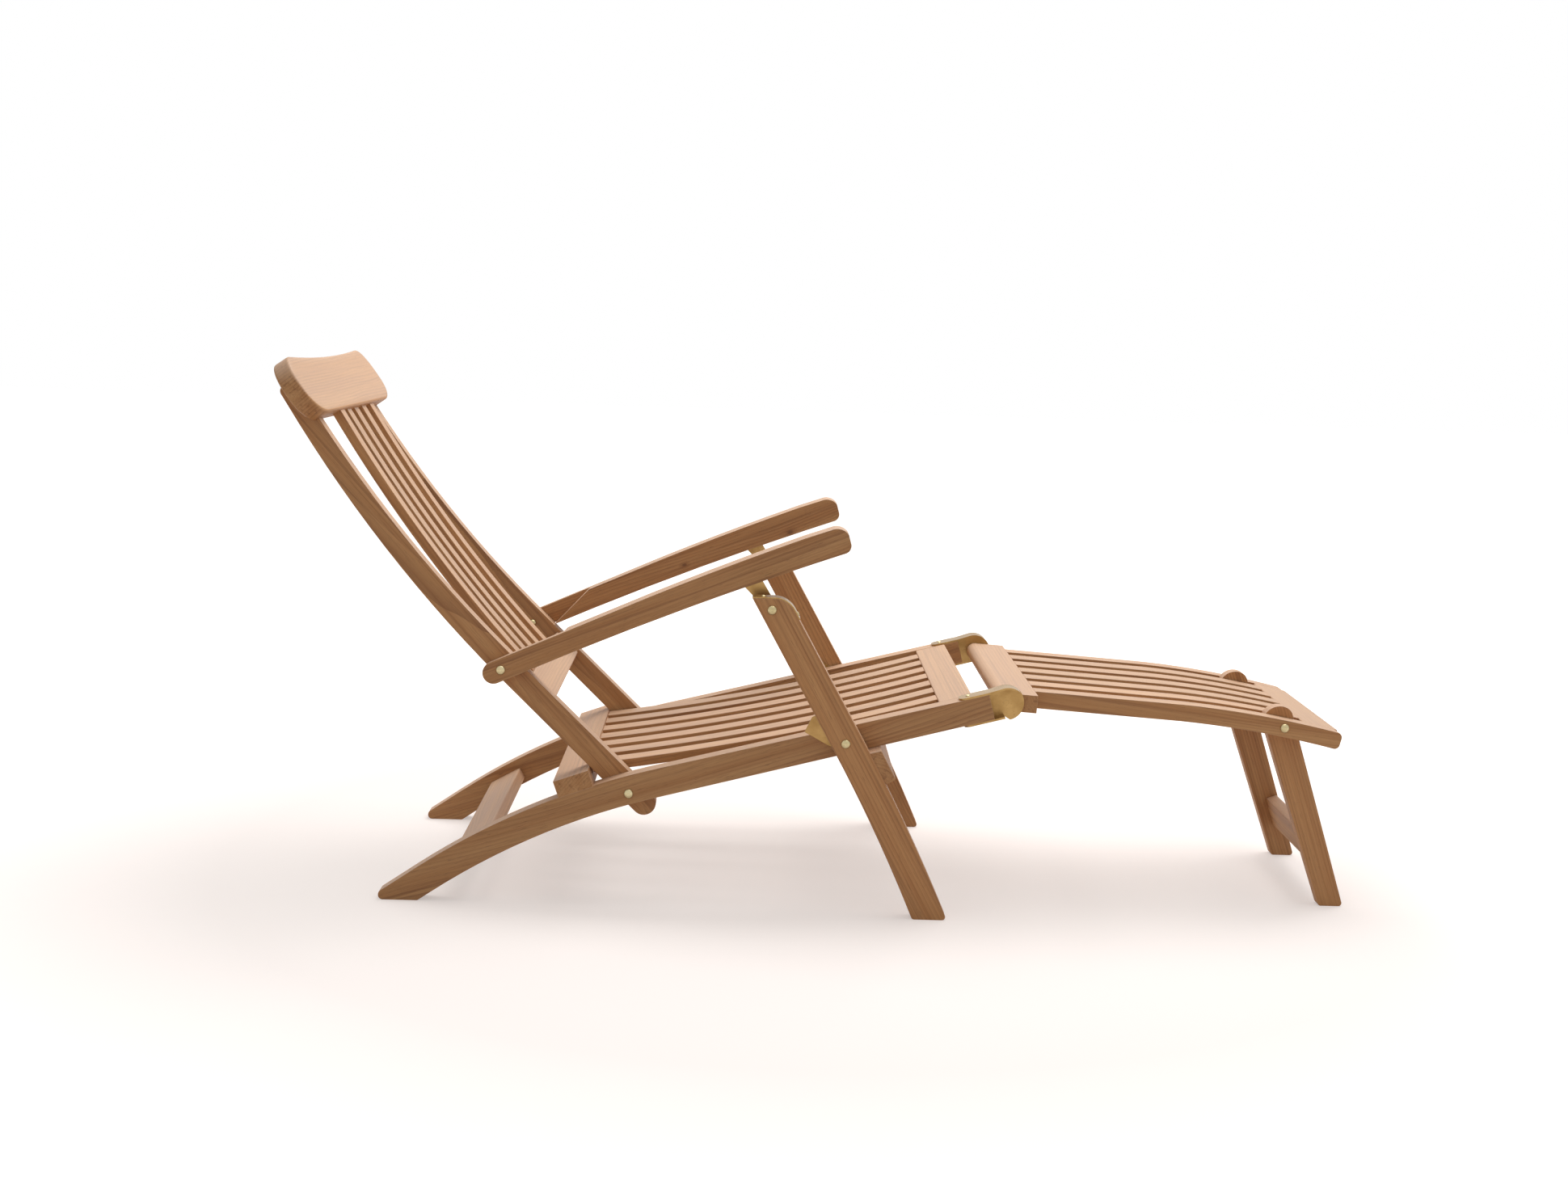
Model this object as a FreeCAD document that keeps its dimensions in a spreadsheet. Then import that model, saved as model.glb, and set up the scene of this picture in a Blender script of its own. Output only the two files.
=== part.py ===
"""Folding steamer deck chair in teak with brass fittings, in millimetres.

+X points to the foot end, +Y to the sitter's left, +Z up. The floor is Z = 0 and
the origin lies under the middle of the chair's length and width. The chair stands
opened out: the back rests in the notches of the rear seat crossrail, the arms lie
on the catches of the front legs and the leg rest stands on its own legs.
"""
import FreeCAD, Part
import math
import os

import Sketcher

os.makedirs("parts", exist_ok=True)
doc = FreeCAD.newDocument("SteamerDeckChair")
sheet = doc.addObject("Spreadsheet::Sheet", "Sizes")
layout = doc.addObject("Spreadsheet::Sheet", "Layout")

# Driving dimensions, millimetres and degrees
SIZES = {
    # across the chair, from the outside in
    "overall_width": 600,
    "leg_thick": 29,
    "leg_gap": 4,
    "rail_thick": 30,
    "side_gap": 0.5,
    "stile_thick": 25,
    "arm_width": 44,
    "arm_tongue": 17,
    # seat rails, measured from the leg pivot along the rail
    "leg_pivot_x": 30.9,
    "leg_pivot_z": 264.6,
    "rail_slope": 14.9,
    "rail_depth": 43,
    "rail_nose_depth": 38,
    "rail_front_run": 225,
    "rail_bend_run": 487,
    "rail_bend_radius": 1100,
    "foot_slope": 34.5,
    "sole_length": 59,
    "back_pivot_run": 334,
    "back_pivot_drop": 6,
    "knee_run": 249,
    "knee_drop": 6,
    # crossrails and slats of the seat
    "rear_cross_run": 410,
    "rear_cross_width": 55,
    "rear_cross_thick": 26,
    "rear_cross_tilt": 5,
    "rear_cross_seat": 7.5,
    "front_cross_run": 176,
    "front_cross_width": 51,
    "front_cross_thick": 20,
    "seat_slat_width": 36,
    "seat_slat_thick": 14,
    "seat_slat_side": 30,
    "seat_slat_dip_radius": 3800,
    "stretcher_width": 57,
    "stretcher_thick": 20,
    "stretcher_run": 589.5,
    "stretcher_drop": 32.7,
    "stretcher_tilt": 29.3,
    # backrest, measured from its pivot up the stile
    "back_pitch": 44,
    "stile_depth": 37,
    "stile_tail": 30,
    "back_straight": 258,
    "back_bow_radius": 2062,
    "back_bow_angle": 14.2,
    "stile_above": 22,
    "stile_top_round": 9,
    "stile_top_depth": 29,
    "arm_pivot_run": 265.3,
    "arm_pivot_back": 6,
    "back_cross_run": 175,
    "back_cross_width": 50,
    "back_cross_thick": 26,
    "back_slat_width": 30,
    "back_slat_thick": 14,
    "back_slat_pitch": 60.5,
    "back_slat_sink": 11,
    "head_slat_sink": 8,
    "back_dish": 2.5,
    "back_slat_radius": 2400,
    "head_width": 580,
    "head_thick": 26.5,
    "head_above": 52,
    "head_below": 41,
    "head_set_low": 9,
    "head_set_high": 4.5,
    "head_curve_radius": 140,
    "head_corner": 38,
    "head_dip": 4.5,
    # arms, measured from the arm pivot
    "arm_slope": 24.3,
    "arm_depth": 32.5,
    "arm_straight": 195,
    "arm_low_straight": 60,
    "arm_length": 559,
    "arm_front_drop": 21,
    "arm_front_depth": 41,
    "arm_fold_room": 112,
    "arm_shoulder_gap": 10.5,
    # front legs, measured from the leg pivot down the leg
    "leg_angle": 60.5,
    "leg_width": 45.5,
    "leg_rear_half": 20.2,
    "leg_top_run": 257,
    "leg_top_radius": 34,
    "leg_foot_bow": 15.8,
    "catch_run": 228,
    "catch_back": 3,
    "leg_bar_top": 29,
    "leg_bar_width": 54.5,
    "leg_bar_thick": 19,
    "leg_bar_sink": 2,
    "leg_bar_inset": 2,
    # leg rest, measured from the knee pivot
    "rest_width": 396,
    "rest_rail_thick": 31,
    "rest_leg_thick": 22,
    "rest_leg_gap": 1,
    "knee_bar_back": 13,
    "knee_bar_front": 48,
    "knee_bar_thick": 27,
    "rest_slope": 3.5,
    "rest_rail_depth": 26,
    "rest_straight": 252,
    "rest_bow_radius": 1580,
    "rest_bow_angle": 9.9,
    "rest_end_angle": 2,
    "rest_end_thick": 20,
    "rest_leg_setback": 88.2,
    "rest_leg_pivot_rise": 1.3,
    "rest_leg_angle": 71.8,
    "rest_leg_half": 21,
    "rest_leg_round": 23,
    "rest_leg_reach": 32,
    "rest_leg_foot_rear": 15,
    "rest_bar_run": 198,
    "rest_bar_width": 49,
    "rest_bar_thick": 20,
    "rest_slat_gap": 25.7,
    "rest_slat_thick": 13,
    # brass
    "bolt_radius": 4,
    "bolt_head_radius": 7,
    "pin_play": 0.05,
    "plate_thick": 2,
    "catch_thick": 3,
    "catch_inset": 4,
    "catch_gap": 0.3,
    "rack_thick": 2.5,
    "rack_width": 13,
    "rack_run": 375,
    "rack_length": 50,
    "catch_back_room": 9,
    "catch_front_room": 13,
    "strap_width": 27,
    "strap_tail": 15,
    "knee_plate_thick": 4,
    "knee_plate_radius": 27,
    "knee_strap_thick": 3,
    "knee_strap_length": 45,
    "knee_flange_length": 46,
    "knee_tip_radius": 11,
    "knee_screw_run": 14,
    "screw_radius": 1.8,
    "screw_head_radius": 3.6,
    "screw_length": 16,
}


class Size:
    """A value together with its formula in the names of the sheet."""

    def __init__(self, value, text):
        self.value = float(value)
        self.text = text

    def __add__(self, other):
        o = as_size(other)
        return Size(self.value + o.value, "(%s + %s)" % (self.text, o.text))

    __radd__ = __add__

    def __sub__(self, other):
        o = as_size(other)
        return Size(self.value - o.value, "(%s - %s)" % (self.text, o.text))

    def __rsub__(self, other):
        return as_size(other) - self

    def __mul__(self, other):
        o = as_size(other)
        return Size(self.value * o.value, "(%s * %s)" % (self.text, o.text))

    __rmul__ = __mul__

    def __truediv__(self, other):
        o = as_size(other)
        return Size(self.value / o.value, "(%s / %s)" % (self.text, o.text))

    def __neg__(self):
        return Size(-self.value, "(0 - %s)" % self.text)


def as_size(x):
    return x if isinstance(x, Size) else Size(x, repr(float(x)))


def cosd(x):
    x = as_size(x)
    return Size(math.cos(math.radians(x.value)), "cos(%s)" % x.text)


def sind(x):
    x = as_size(x)
    return Size(math.sin(math.radians(x.value)), "sin(%s)" % x.text)


def tand(x):
    x = as_size(x)
    return Size(math.tan(math.radians(x.value)), "tan(%s)" % x.text)


def atand(x):
    x = as_size(x)
    return Size(math.degrees(math.atan(x.value)), "(atan(%s) / 1deg)" % x.text)


def root(x):
    x = as_size(x)
    return Size(math.sqrt(x.value), "sqrt(%s)" % x.text)


for row, (alias, number) in enumerate(SIZES.items(), start=1):
    sheet.set("A%d" % row, alias)
    sheet.set("B%d" % row, str(number))
    sheet.setAlias("B%d" % row, alias)
doc.recompute()


def dim(alias):
    """The size of that name in the sheet."""
    return Size(float(sheet.get(alias)), "Sizes.%s" % alias)


worked_out = []


def derived(name, size):
    """Keeps a worked-out position in the layout sheet under its own name."""
    row = len(worked_out) + 1
    worked_out.append(name)
    layout.set("A%d" % row, name)
    layout.set("B%d" % row, "=" + size.text)
    layout.setAlias("B%d" % row, name)
    return Size(size.value, "Layout.%s" % name)


class Frame:
    """A local frame in the side plane: a pivot and a turn about +Y, clockwise seen from the right."""

    def __init__(self, x, z, turn):
        self.x, self.z, self.turn = as_size(x), as_size(z), as_size(turn)

    def out(self, x, z):
        """Local point to the chair's own X and Z."""
        c, s = cosd(self.turn), sind(self.turn)
        return self.x + x * c + z * s, self.z - x * s + z * c

    def into(self, x, z):
        """Point in the chair's X and Z to this local frame."""
        c, s = cosd(self.turn), sind(self.turn)
        dx, dz = x - self.x, z - self.z
        return dx * c - dz * s, dx * s + dz * c


# Sketching helpers
def pin_coordinate(sketch, kind, geo, pos, size):
    """Fixes one coordinate of a point to its formula."""
    size = as_size(size)
    n = sketch.addConstraint(Sketcher.Constraint(kind, geo, pos, size.value))
    if "." in size.text and "Sizes" in size.text or "Layout" in size.text:
        sketch.setExpression("Constraints[%d]" % n, size.text)


def draw(sketch, corners, holes=()):
    """Closed outline through corners (x, y) or (x, y, radius, bulge) for an edge that arrives as an arc.

    bulge is 1 where the arc swells to the left of its direction of travel and -1 to the right.
    """
    pts = [(as_size(c[0]), as_size(c[1])) for c in corners]
    ends = []
    for i, c in enumerate(corners):
        a, b = pts[i - 1], pts[i]
        pa = FreeCAD.Vector(a[0].value, a[1].value, 0)
        pb = FreeCAD.Vector(b[0].value, b[1].value, 0)
        if len(c) == 2:
            g = sketch.addGeometry(Part.LineSegment(pa, pb), False)
            ends.append((g, 1, 2))
            continue
        radius = as_size(c[2])
        side = c[3]
        chord = pb - pa
        half = chord.Length / 2.0
        up = FreeCAD.Vector(-chord.y, chord.x, 0).normalize()
        centre = (pa + pb) * 0.5 - up * side * math.sqrt(max(radius.value ** 2 - half ** 2, 0.0))
        first, last = (pa, pb) if side < 0 else (pb, pa)
        t0 = math.atan2(first.y - centre.y, first.x - centre.x)
        t1 = math.atan2(last.y - centre.y, last.x - centre.x)
        if t1 < t0:
            t1 += 2 * math.pi
        circle = Part.Circle(centre, FreeCAD.Vector(0, 0, 1), radius.value)
        g = sketch.addGeometry(Part.ArcOfCircle(circle, t0, t1), False)
        ends.append((g, 1, 2) if side < 0 else (g, 2, 1))
        n = sketch.addConstraint(Sketcher.Constraint("Radius", g, radius.value))
        if "Sizes" in radius.text or "Layout" in radius.text:
            sketch.setExpression("Constraints[%d]" % n, radius.text)
    count = len(ends)
    for i in range(count):
        g, start, end = ends[i]
        nxt = ends[(i + 1) % count]
        sketch.addConstraint(Sketcher.Constraint("Coincident", g, end, nxt[0], nxt[1]))
        pin_coordinate(sketch, "DistanceX", g, end, pts[i][0])
        pin_coordinate(sketch, "DistanceY", g, end, pts[i][1])
    for x, y, r in holes:
        x, y, r = as_size(x), as_size(y), as_size(r)
        circle = Part.Circle(FreeCAD.Vector(x.value, y.value, 0), FreeCAD.Vector(0, 0, 1), r.value)
        g = sketch.addGeometry(circle, False)
        n = sketch.addConstraint(Sketcher.Constraint("Radius", g, r.value))
        if "Sizes" in r.text:
            sketch.setExpression("Constraints[%d]" % n, r.text)
        pin_coordinate(sketch, "DistanceX", g, 3, x)
        pin_coordinate(sketch, "DistanceY", g, 3, y)


def origin_plane(body, role):
    return [f for f in body.Origin.OriginFeatures if f.Role == role][0]


def bind(obj, prop, size):
    """Ties a property to its formula."""
    size = as_size(size)
    if "Sizes" in size.text or "Layout" in size.text:
        obj.setExpression(prop, size.text)
    else:
        if prop == "Length":
            obj.Length = size.value


def place(body, frame, y):
    """Puts a body in its frame, with its sketch plane at the given Y."""
    y = as_size(y)
    body.Placement = FreeCAD.Placement(
        FreeCAD.Vector(frame.x.value, y.value, frame.z.value),
        FreeCAD.Rotation(FreeCAD.Vector(0, 1, 0), frame.turn.value),
    )
    for prop, size in (
        ("Placement.Base.x", frame.x),
        ("Placement.Base.y", y),
        ("Placement.Base.z", frame.z),
        ("Placement.Rotation.Angle", frame.turn),
    ):
        if "Sizes" in size.text or "Layout" in size.text:
            body.setExpression(prop, size.text)


parts = {}


def board(name, frame, corners, y_top, thick, holes=(), keep=True):
    """A board cut to an outline in the side plane, from y_top down to y_top - thick."""
    body = doc.addObject("PartDesign::Body", name)
    body.Label = name
    sketch = body.newObject("Sketcher::SketchObject", name + "_outline")
    sketch.AttachmentSupport = [(origin_plane(body, "XZ_Plane"), "")]
    sketch.MapMode = "FlatFace"
    draw(sketch, corners, holes)
    pad = body.newObject("PartDesign::Pad", name + "_board")
    pad.Profile = sketch
    pad.Length = as_size(thick).value
    bind(pad, "Length", thick)
    sketch.Visibility = False
    place(body, frame, y_top)
    if keep:
        parts[name] = body
    return body


def cut(body, tag, corners, y_top=0.0, depth=None):
    """Pockets an outline in the side plane out of a board, starting y_top above its sketch plane."""
    doc.recompute()
    before = body.Shape.Volume
    sketch = body.newObject("Sketcher::SketchObject", body.Name + "_" + tag)
    sketch.AttachmentSupport = [(origin_plane(body, "XZ_Plane"), "")]
    sketch.MapMode = "FlatFace"
    start = as_size(y_top)
    sketch.AttachmentOffset = FreeCAD.Placement(FreeCAD.Vector(0, 0, -start.value), FreeCAD.Rotation())
    if "Sizes" in start.text:
        sketch.setExpression("AttachmentOffset.Base.z", (-start).text)
    draw(sketch, corners)
    pocket = body.newObject("PartDesign::Pocket", body.Name + "_" + tag + "_pocket")
    pocket.Profile = sketch
    pocket.Reversed = True
    if depth is None:
        pocket.Type = 1
    else:
        pocket.Length = as_size(depth).value
        bind(pocket, "Length", depth)
    sketch.Visibility = False
    doc.recompute()
    if body.Shape.Volume > before - 0.5:
        raise RuntimeError("the cut %s of %s removes nothing" % (tag, body.Label))
    return pocket


def soften(body, places, radius, tag):
    """Rounds the edges that run across the chair through the given local (x, z) places."""
    doc.recompute()
    base = body.Tip
    shape = base.Shape
    names = []
    for i, edge in enumerate(shape.Edges, start=1):
        a, b = edge.Vertexes[0].Point, edge.Vertexes[-1].Point
        if abs(a.x - b.x) > 1e-3 or abs(a.z - b.z) > 1e-3:
            continue
        for x, z in places:
            if abs(a.x - as_size(x).value) < 0.02 and abs(a.z - as_size(z).value) < 0.02:
                names.append("Edge%d" % i)
    if not names:
        raise RuntimeError("no edge to soften on " + body.Label)
    fillet = body.newObject("PartDesign::Fillet", body.Name + "_" + tag)
    fillet.Base = (base, names)
    fillet.Radius = as_size(radius).value
    if "Sizes" in as_size(radius).text:
        fillet.setExpression("Radius", as_size(radius).text)
    base.Visibility = False
    return fillet


def drill(body, tag, x, z, tilt, y, depth):
    """Round hole for a screw, square to a face whose normal is the local +Z turned by tilt."""
    doc.recompute()
    before = body.Shape.Volume
    x, z, tilt, y = as_size(x), as_size(z), as_size(tilt), as_size(y)
    sketch = body.newObject("Sketcher::SketchObject", body.Name + "_" + tag)
    sketch.AttachmentSupport = [(origin_plane(body, "XY_Plane"), "")]
    sketch.MapMode = "FlatFace"
    lift = dim("screw_head_radius")
    up = (x + lift * sind(tilt), z + lift * cosd(tilt))
    sketch.AttachmentOffset = FreeCAD.Placement(
        FreeCAD.Vector(up[0].value, y.value, up[1].value),
        FreeCAD.Rotation(FreeCAD.Vector(0, 1, 0), tilt.value),
    )
    for prop, size in (("Base.x", up[0]), ("Base.y", y), ("Base.z", up[1]), ("Rotation.Angle", tilt)):
        if "Sizes" in size.text or "Layout" in size.text:
            sketch.setExpression("AttachmentOffset." + prop, size.text)
    radius = dim("screw_radius") + dim("pin_play")
    circle = Part.Circle(FreeCAD.Vector(0, 0, 0), FreeCAD.Vector(0, 0, 1), radius.value)
    g = sketch.addGeometry(circle, False)
    n = sketch.addConstraint(Sketcher.Constraint("Radius", g, radius.value))
    sketch.setExpression("Constraints[%d]" % n, radius.text)
    sketch.addConstraint(Sketcher.Constraint("Coincident", g, 3, -1, 1))
    pocket = body.newObject("PartDesign::Pocket", body.Name + "_" + tag + "_hole")
    pocket.Profile = sketch
    bind(pocket, "Length", as_size(depth) + lift)
    doc.recompute()
    if body.Shape.Volume > before - 0.5:
        raise RuntimeError("the hole %s of %s removes nothing" % (tag, body.Label))


def wood_screw(name, frame, x, z, tilt, y, sheet_thick):
    """A domed screw that holds a brass sheet down; (x, z) is where it enters the wood."""
    body = doc.addObject("PartDesign::Body", name)
    body.Label = name
    sketch = body.newObject("Sketcher::SketchObject", name + "_profile")
    sketch.AttachmentSupport = [(origin_plane(body, "XZ_Plane"), "")]
    sketch.MapMode = "FlatFace"
    r, rh = dim("screw_radius"), dim("screw_head_radius")
    long = dim("screw_length") - 1
    draw(
        sketch,
        [
            (0, -long),
            (r, -long + 3),
            (r, sheet_thick),
            (rh, sheet_thick),
            (1.4, sheet_thick + 1.7, 3.6, -1),
            (1.1, sheet_thick + 1.1),
            (0, sheet_thick + 1.1),
        ],
    )
    turn = body.newObject("PartDesign::Revolution", name + "_turned")
    turn.Profile = sketch
    turn.ReferenceAxis = (sketch, ["V_Axis"])
    turn.Angle = 360.0
    sketch.Visibility = False
    px, pz = frame.out(as_size(x), as_size(z))
    place(body, Frame(px, pz, frame.turn + as_size(tilt)), y)
    return body


def turned(name, frame_x, frame_z, profile):
    """A turned piece about an axis along Y, from its half profile of (radius, y) corners."""
    body = doc.addObject("PartDesign::Body", name)
    body.Label = name
    sketch = body.newObject("Sketcher::SketchObject", name + "_profile")
    sketch.AttachmentSupport = [(origin_plane(body, "XY_Plane"), "")]
    sketch.MapMode = "FlatFace"
    draw(sketch, profile)
    turn = body.newObject("PartDesign::Revolution", name + "_turned")
    turn.Profile = sketch
    turn.ReferenceAxis = (sketch, ["V_Axis"])
    turn.Angle = 360.0
    sketch.Visibility = False
    place(body, Frame(frame_x, frame_z, 0), 0)
    return body


def group(name, bodies):
    """Identical fasteners kept together as separate solids of one piece."""
    doc.recompute()
    comp = doc.addObject("Part::Compound", name)
    comp.Label = name
    comp.Links = bodies
    parts[name] = comp
    return comp


def bolt_profile(side, head_face, nut_face, nut=True):
    """Half profile of a bolt with a domed head outside and a domed nut inside."""
    r = dim("bolt_radius")
    rh = dim("bolt_head_radius")
    s = side
    out = [
        (0, s * (head_face + 3.6)),
        (1.6, s * (head_face + 3.6)),
        (2.2, s * (head_face + 4.4)),
        (rh - 0.4, s * (head_face + 1.6), 8.5, 1 if s > 0 else -1),
        (rh, s * (head_face + 0.8)),
        (rh, s * head_face),
        (r, s * head_face),
        (r, s * nut_face),
    ]
    if nut:
        out += [
            (rh - 0.5, s * nut_face),
            (rh - 0.5, s * (nut_face - 2.6)),
            (2.6, s * (nut_face - 5.6), 5.5, 1 if s > 0 else -1),
            (0, s * (nut_face - 5.6)),
        ]
    else:
        out.append((0, s * nut_face))
    return out


# Places across the chair
leg_out = dim("overall_width") / 2
leg_in = derived("leg_in", leg_out - dim("leg_thick"))
rail_out = derived("rail_out", leg_in - dim("leg_gap"))
rail_in = derived("rail_in", rail_out - dim("rail_thick"))
stile_out = derived("stile_out", rail_in - dim("side_gap"))
stile_in = derived("stile_in", stile_out - dim("stile_thick"))
arm_out = derived("arm_out", stile_out + dim("side_gap") + dim("arm_tongue"))
arm_in = derived("arm_in", arm_out - dim("arm_width"))

# Places in the side plane
slope = dim("rail_slope")
rail = Frame(dim("leg_pivot_x"), dim("leg_pivot_z"), -slope)


def pivot(name, frame, x, z):
    """Keeps a pivot, given in a frame, as a named place of the chair."""
    px, pz = frame.out(x, z)
    return derived(name + "_x", px), derived(name + "_z", pz)


back_x, back_z = pivot("back_pivot", rail, -dim("back_pivot_run"), -dim("back_pivot_drop"))
knee_x, knee_z = pivot("knee", rail, dim("knee_run"), -dim("knee_drop"))
back = Frame(back_x, back_z, dim("back_pitch"))
arm_x, arm_z = pivot("arm_pivot", back, -dim("arm_pivot_run"), -dim("arm_pivot_back"))
arm = Frame(arm_x, arm_z, -dim("arm_slope"))
leg = Frame(rail.x, rail.z, dim("leg_angle"))
rest = Frame(knee_x, knee_z, dim("rest_slope"))
bow_run = dim("rest_bow_radius") * sind(dim("rest_bow_angle")) - dim("rest_leg_setback")
rest_leg_run = derived("rest_leg_run", dim("rest_straight") + bow_run)
rest_leg_rise = derived(
    "rest_leg_rise",
    root(dim("rest_bow_radius") * dim("rest_bow_radius") - bow_run * bow_run)
    - dim("rest_bow_radius")
    + dim("rest_leg_pivot_rise"),
)
foot_x, foot_z = pivot("rest_leg_pivot", rest, rest_leg_run, rest_leg_rise)
rest_leg = Frame(foot_x, foot_z, dim("rest_leg_angle"))
doc.recompute()

hole = dim("bolt_radius") + dim("pin_play")
half = dim("rail_depth") / 2


def both(name, maker):
    """Makes the right piece at -Y and its left partner at +Y; maker gets the side and its name."""
    return maker(-1, name + "_right"), maker(1, name + "_left")


def top_y(side, inner, outer):
    """The larger Y of a piece that lies between two distances from the middle."""
    return outer if side > 0 else -inner


# Side rails: straight from the knee to the back pivot, then bent down to the rear foot
bend = dim("rail_bend_run")
turn_angle = dim("foot_slope") - slope
tangent = dim("rail_bend_radius") * tand(turn_angle / 2)
gx, gz = cosd(turn_angle), sind(turn_angle)
front_x = dim("rail_front_run")
low_front = (tangent - bend, -half)
high_front = (tangent - bend, half)
low_rear = (-bend - tangent * gx + half * gz, -(tangent * gz) - half * gx)
high_rear = (-bend - tangent * gx - half * gz, -(tangent * gz) + half * gx)
drop = (dim("leg_pivot_z") + low_rear[0] * sind(slope) + low_rear[1] * cosd(slope)) / sind(dim("foot_slope"))
sole_front = (low_rear[0] - drop * gx, low_rear[1] - drop * gz)
sole_rear = (
    sole_front[0] - dim("sole_length") * cosd(slope),
    sole_front[1] + dim("sole_length") * sind(slope),
)
reach = (
    (high_rear[0] - sole_rear[0]) * cosd(slope) - (high_rear[1] - sole_rear[1]) * sind(slope)
) / cosd(dim("foot_slope"))
heel = (high_rear[0] - reach * gx, high_rear[1] - reach * gz)
nose_low = (front_x, -half)
nose_high = (front_x, -half + dim("rail_nose_depth"))

cross_tilt = dim("rear_cross_tilt")
cross_x, cross_z = pivot("rear_cross", rail, -dim("rear_cross_run"), half - dim("rear_cross_seat"))
cross = Frame(cross_x, cross_z, -slope - cross_tilt)
cross_half = dim("rear_cross_width") / 2


def in_rail(frame, x, z):
    """A local point of another frame as seen in the rail's frame."""
    return rail.into(*frame.out(x, z))


# Seats of the knee brackets on the rails' noses, with the places of their screws
kr = dim("knee_plate_radius")
ks = dim("knee_strap_thick")
kx, kz = dim("knee_run"), -dim("knee_drop")
top_fall = (dim("rail_depth") - dim("rail_nose_depth")) / (front_x - high_front[0])
nose_top_z = nose_high[1]
strap_tip = front_x - dim("knee_strap_length")
flange_tip = front_x - dim("knee_flange_length")


def rail_top(x):
    """Height of the rail's top over its centre line near the nose."""
    return nose_top_z + (front_x - x) * top_fall


knee_screw_places = [
    (strap_tip + dim("knee_screw_run"), rail_top(strap_tip + dim("knee_screw_run")), atand(top_fall)),
    (flange_tip + dim("knee_screw_run"), -half, as_size(180)),
]


def side_rail(side, name):
    body = board(
        name,
        rail,
        [
            sole_front,
            low_rear,
            (low_front[0], low_front[1], dim("rail_bend_radius") - half, 1),
            nose_low,
            nose_high,
            high_front,
            (high_rear[0], high_rear[1], dim("rail_bend_radius") + half, -1),
            heel,
            sole_rear,
        ],
        top_y(side, rail_in, rail_out),
        dim("rail_thick"),
        [
            (0, 0, hole),
            (-dim("back_pivot_run"), -dim("back_pivot_drop"), hole),
        ],
    )
    cut(
        body,
        "housing",
        [
            in_rail(cross, -cross_half, 0),
            in_rail(cross, cross_half, 0),
            in_rail(cross, cross_half, dim("rear_cross_thick")),
            in_rail(cross, -cross_half, dim("rear_cross_thick")),
        ],
    )
    soften(body, [heel, sole_rear, sole_front], 7, "foot_round")
    for n, (x, z, tilt) in enumerate(knee_screw_places):
        drill(body, "knee_screw_%d" % n, x, z, tilt, -dim("rail_thick") / 2, dim("screw_length"))
    return body


both("side_rail", side_rail)

# Board between the rear feet, sunk a little below the rails' tops
stretcher_x, stretcher_z = pivot("stretcher", rail, -dim("stretcher_run"), -dim("stretcher_drop"))
board(
    "rear_leg_stretcher",
    Frame(stretcher_x, stretcher_z, -dim("stretcher_tilt")),
    [
        (dim("stretcher_width") / -2, -dim("stretcher_thick")),
        (dim("stretcher_width") / 2, -dim("stretcher_thick")),
        (dim("stretcher_width") / 2, 0),
        (dim("stretcher_width") / -2, 0),
    ],
    rail_in,
    2 * rail_in,
)

# Rear seat crossrail, housed in the rails' tops, with a slanting notch for each stile to lean in
rear_cross = board(
    "rear_seat_crossrail",
    cross,
    [
        (-cross_half, 0),
        (cross_half, 0),
        (cross_half, dim("rear_cross_thick")),
        (-cross_half, dim("rear_cross_thick")),
    ],
    rail_out,
    2 * rail_out,
)
lean = dim("side_gap") * 0.6
stile_rear = -(dim("stile_depth") / 2) - lean
notch_run = dim("rear_cross_run") - dim("back_pivot_run")
notch_low, notch_high = notch_run * -0.25, notch_run * -2.1
notch_front = stile_rear + dim("stile_depth") + dim("rear_cross_seat")
for tag, high in (("notch_left", stile_out + 1), ("notch_right", -stile_in + 1)):
    cut(
        rear_cross,
        tag,
        [
            cross.into(*back.out(notch_low, stile_rear)),
            cross.into(*back.out(notch_low, notch_front)),
            cross.into(*back.out(notch_high, notch_front)),
            cross.into(*back.out(notch_high, stile_rear)),
        ],
        high - rail_out,
        dim("stile_thick") + 2,
    )

# Front seat crossrail between the rails, flush with their tops
fc = dim("front_cross_run")
fc_top = -half + dim("rail_nose_depth") + (dim("rail_depth") - dim("rail_nose_depth")) * 0.12
fc_x, fc_z = pivot("front_cross", rail, fc, fc_top)
front_cross = Frame(fc_x, fc_z, -slope)
board(
    "front_seat_crossrail",
    front_cross,
    [
        (-dim("front_cross_width") / 2, -dim("front_cross_thick")),
        (dim("front_cross_width") / 2, -dim("front_cross_thick")),
        (dim("front_cross_width") / 2, 0),
        (-dim("front_cross_width") / 2, 0),
    ],
    rail_in,
    2 * rail_in,
)

# Seat slats, dished between the crossrails
slat_rear_top = in_rail(cross, cross_half, dim("rear_cross_thick") - 2)
slat_rear_low = in_rail(cross, cross_half, dim("rear_cross_thick") - 2 - dim("seat_slat_thick"))
slat_front_top = (fc - dim("front_cross_width") / 2, fc_top - 1)
slat_front_low = (fc - dim("front_cross_width") / 2, fc_top - 1 - dim("seat_slat_thick"))
slat_w = dim("seat_slat_width")
slat_edge = rail_in - dim("seat_slat_side")
slat_pitch = (2 * slat_edge - slat_w) / 6
for n in range(7):
    board(
        "seat_slat_%d" % (n + 1),
        rail,
        [
            slat_rear_low,
            (slat_front_low[0], slat_front_low[1], dim("seat_slat_dip_radius"), -1),
            slat_front_top,
            (slat_rear_top[0], slat_rear_top[1], dim("seat_slat_dip_radius"), 1),
        ],
        slat_w - slat_edge + slat_pitch * n,
        slat_w,
    )

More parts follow.
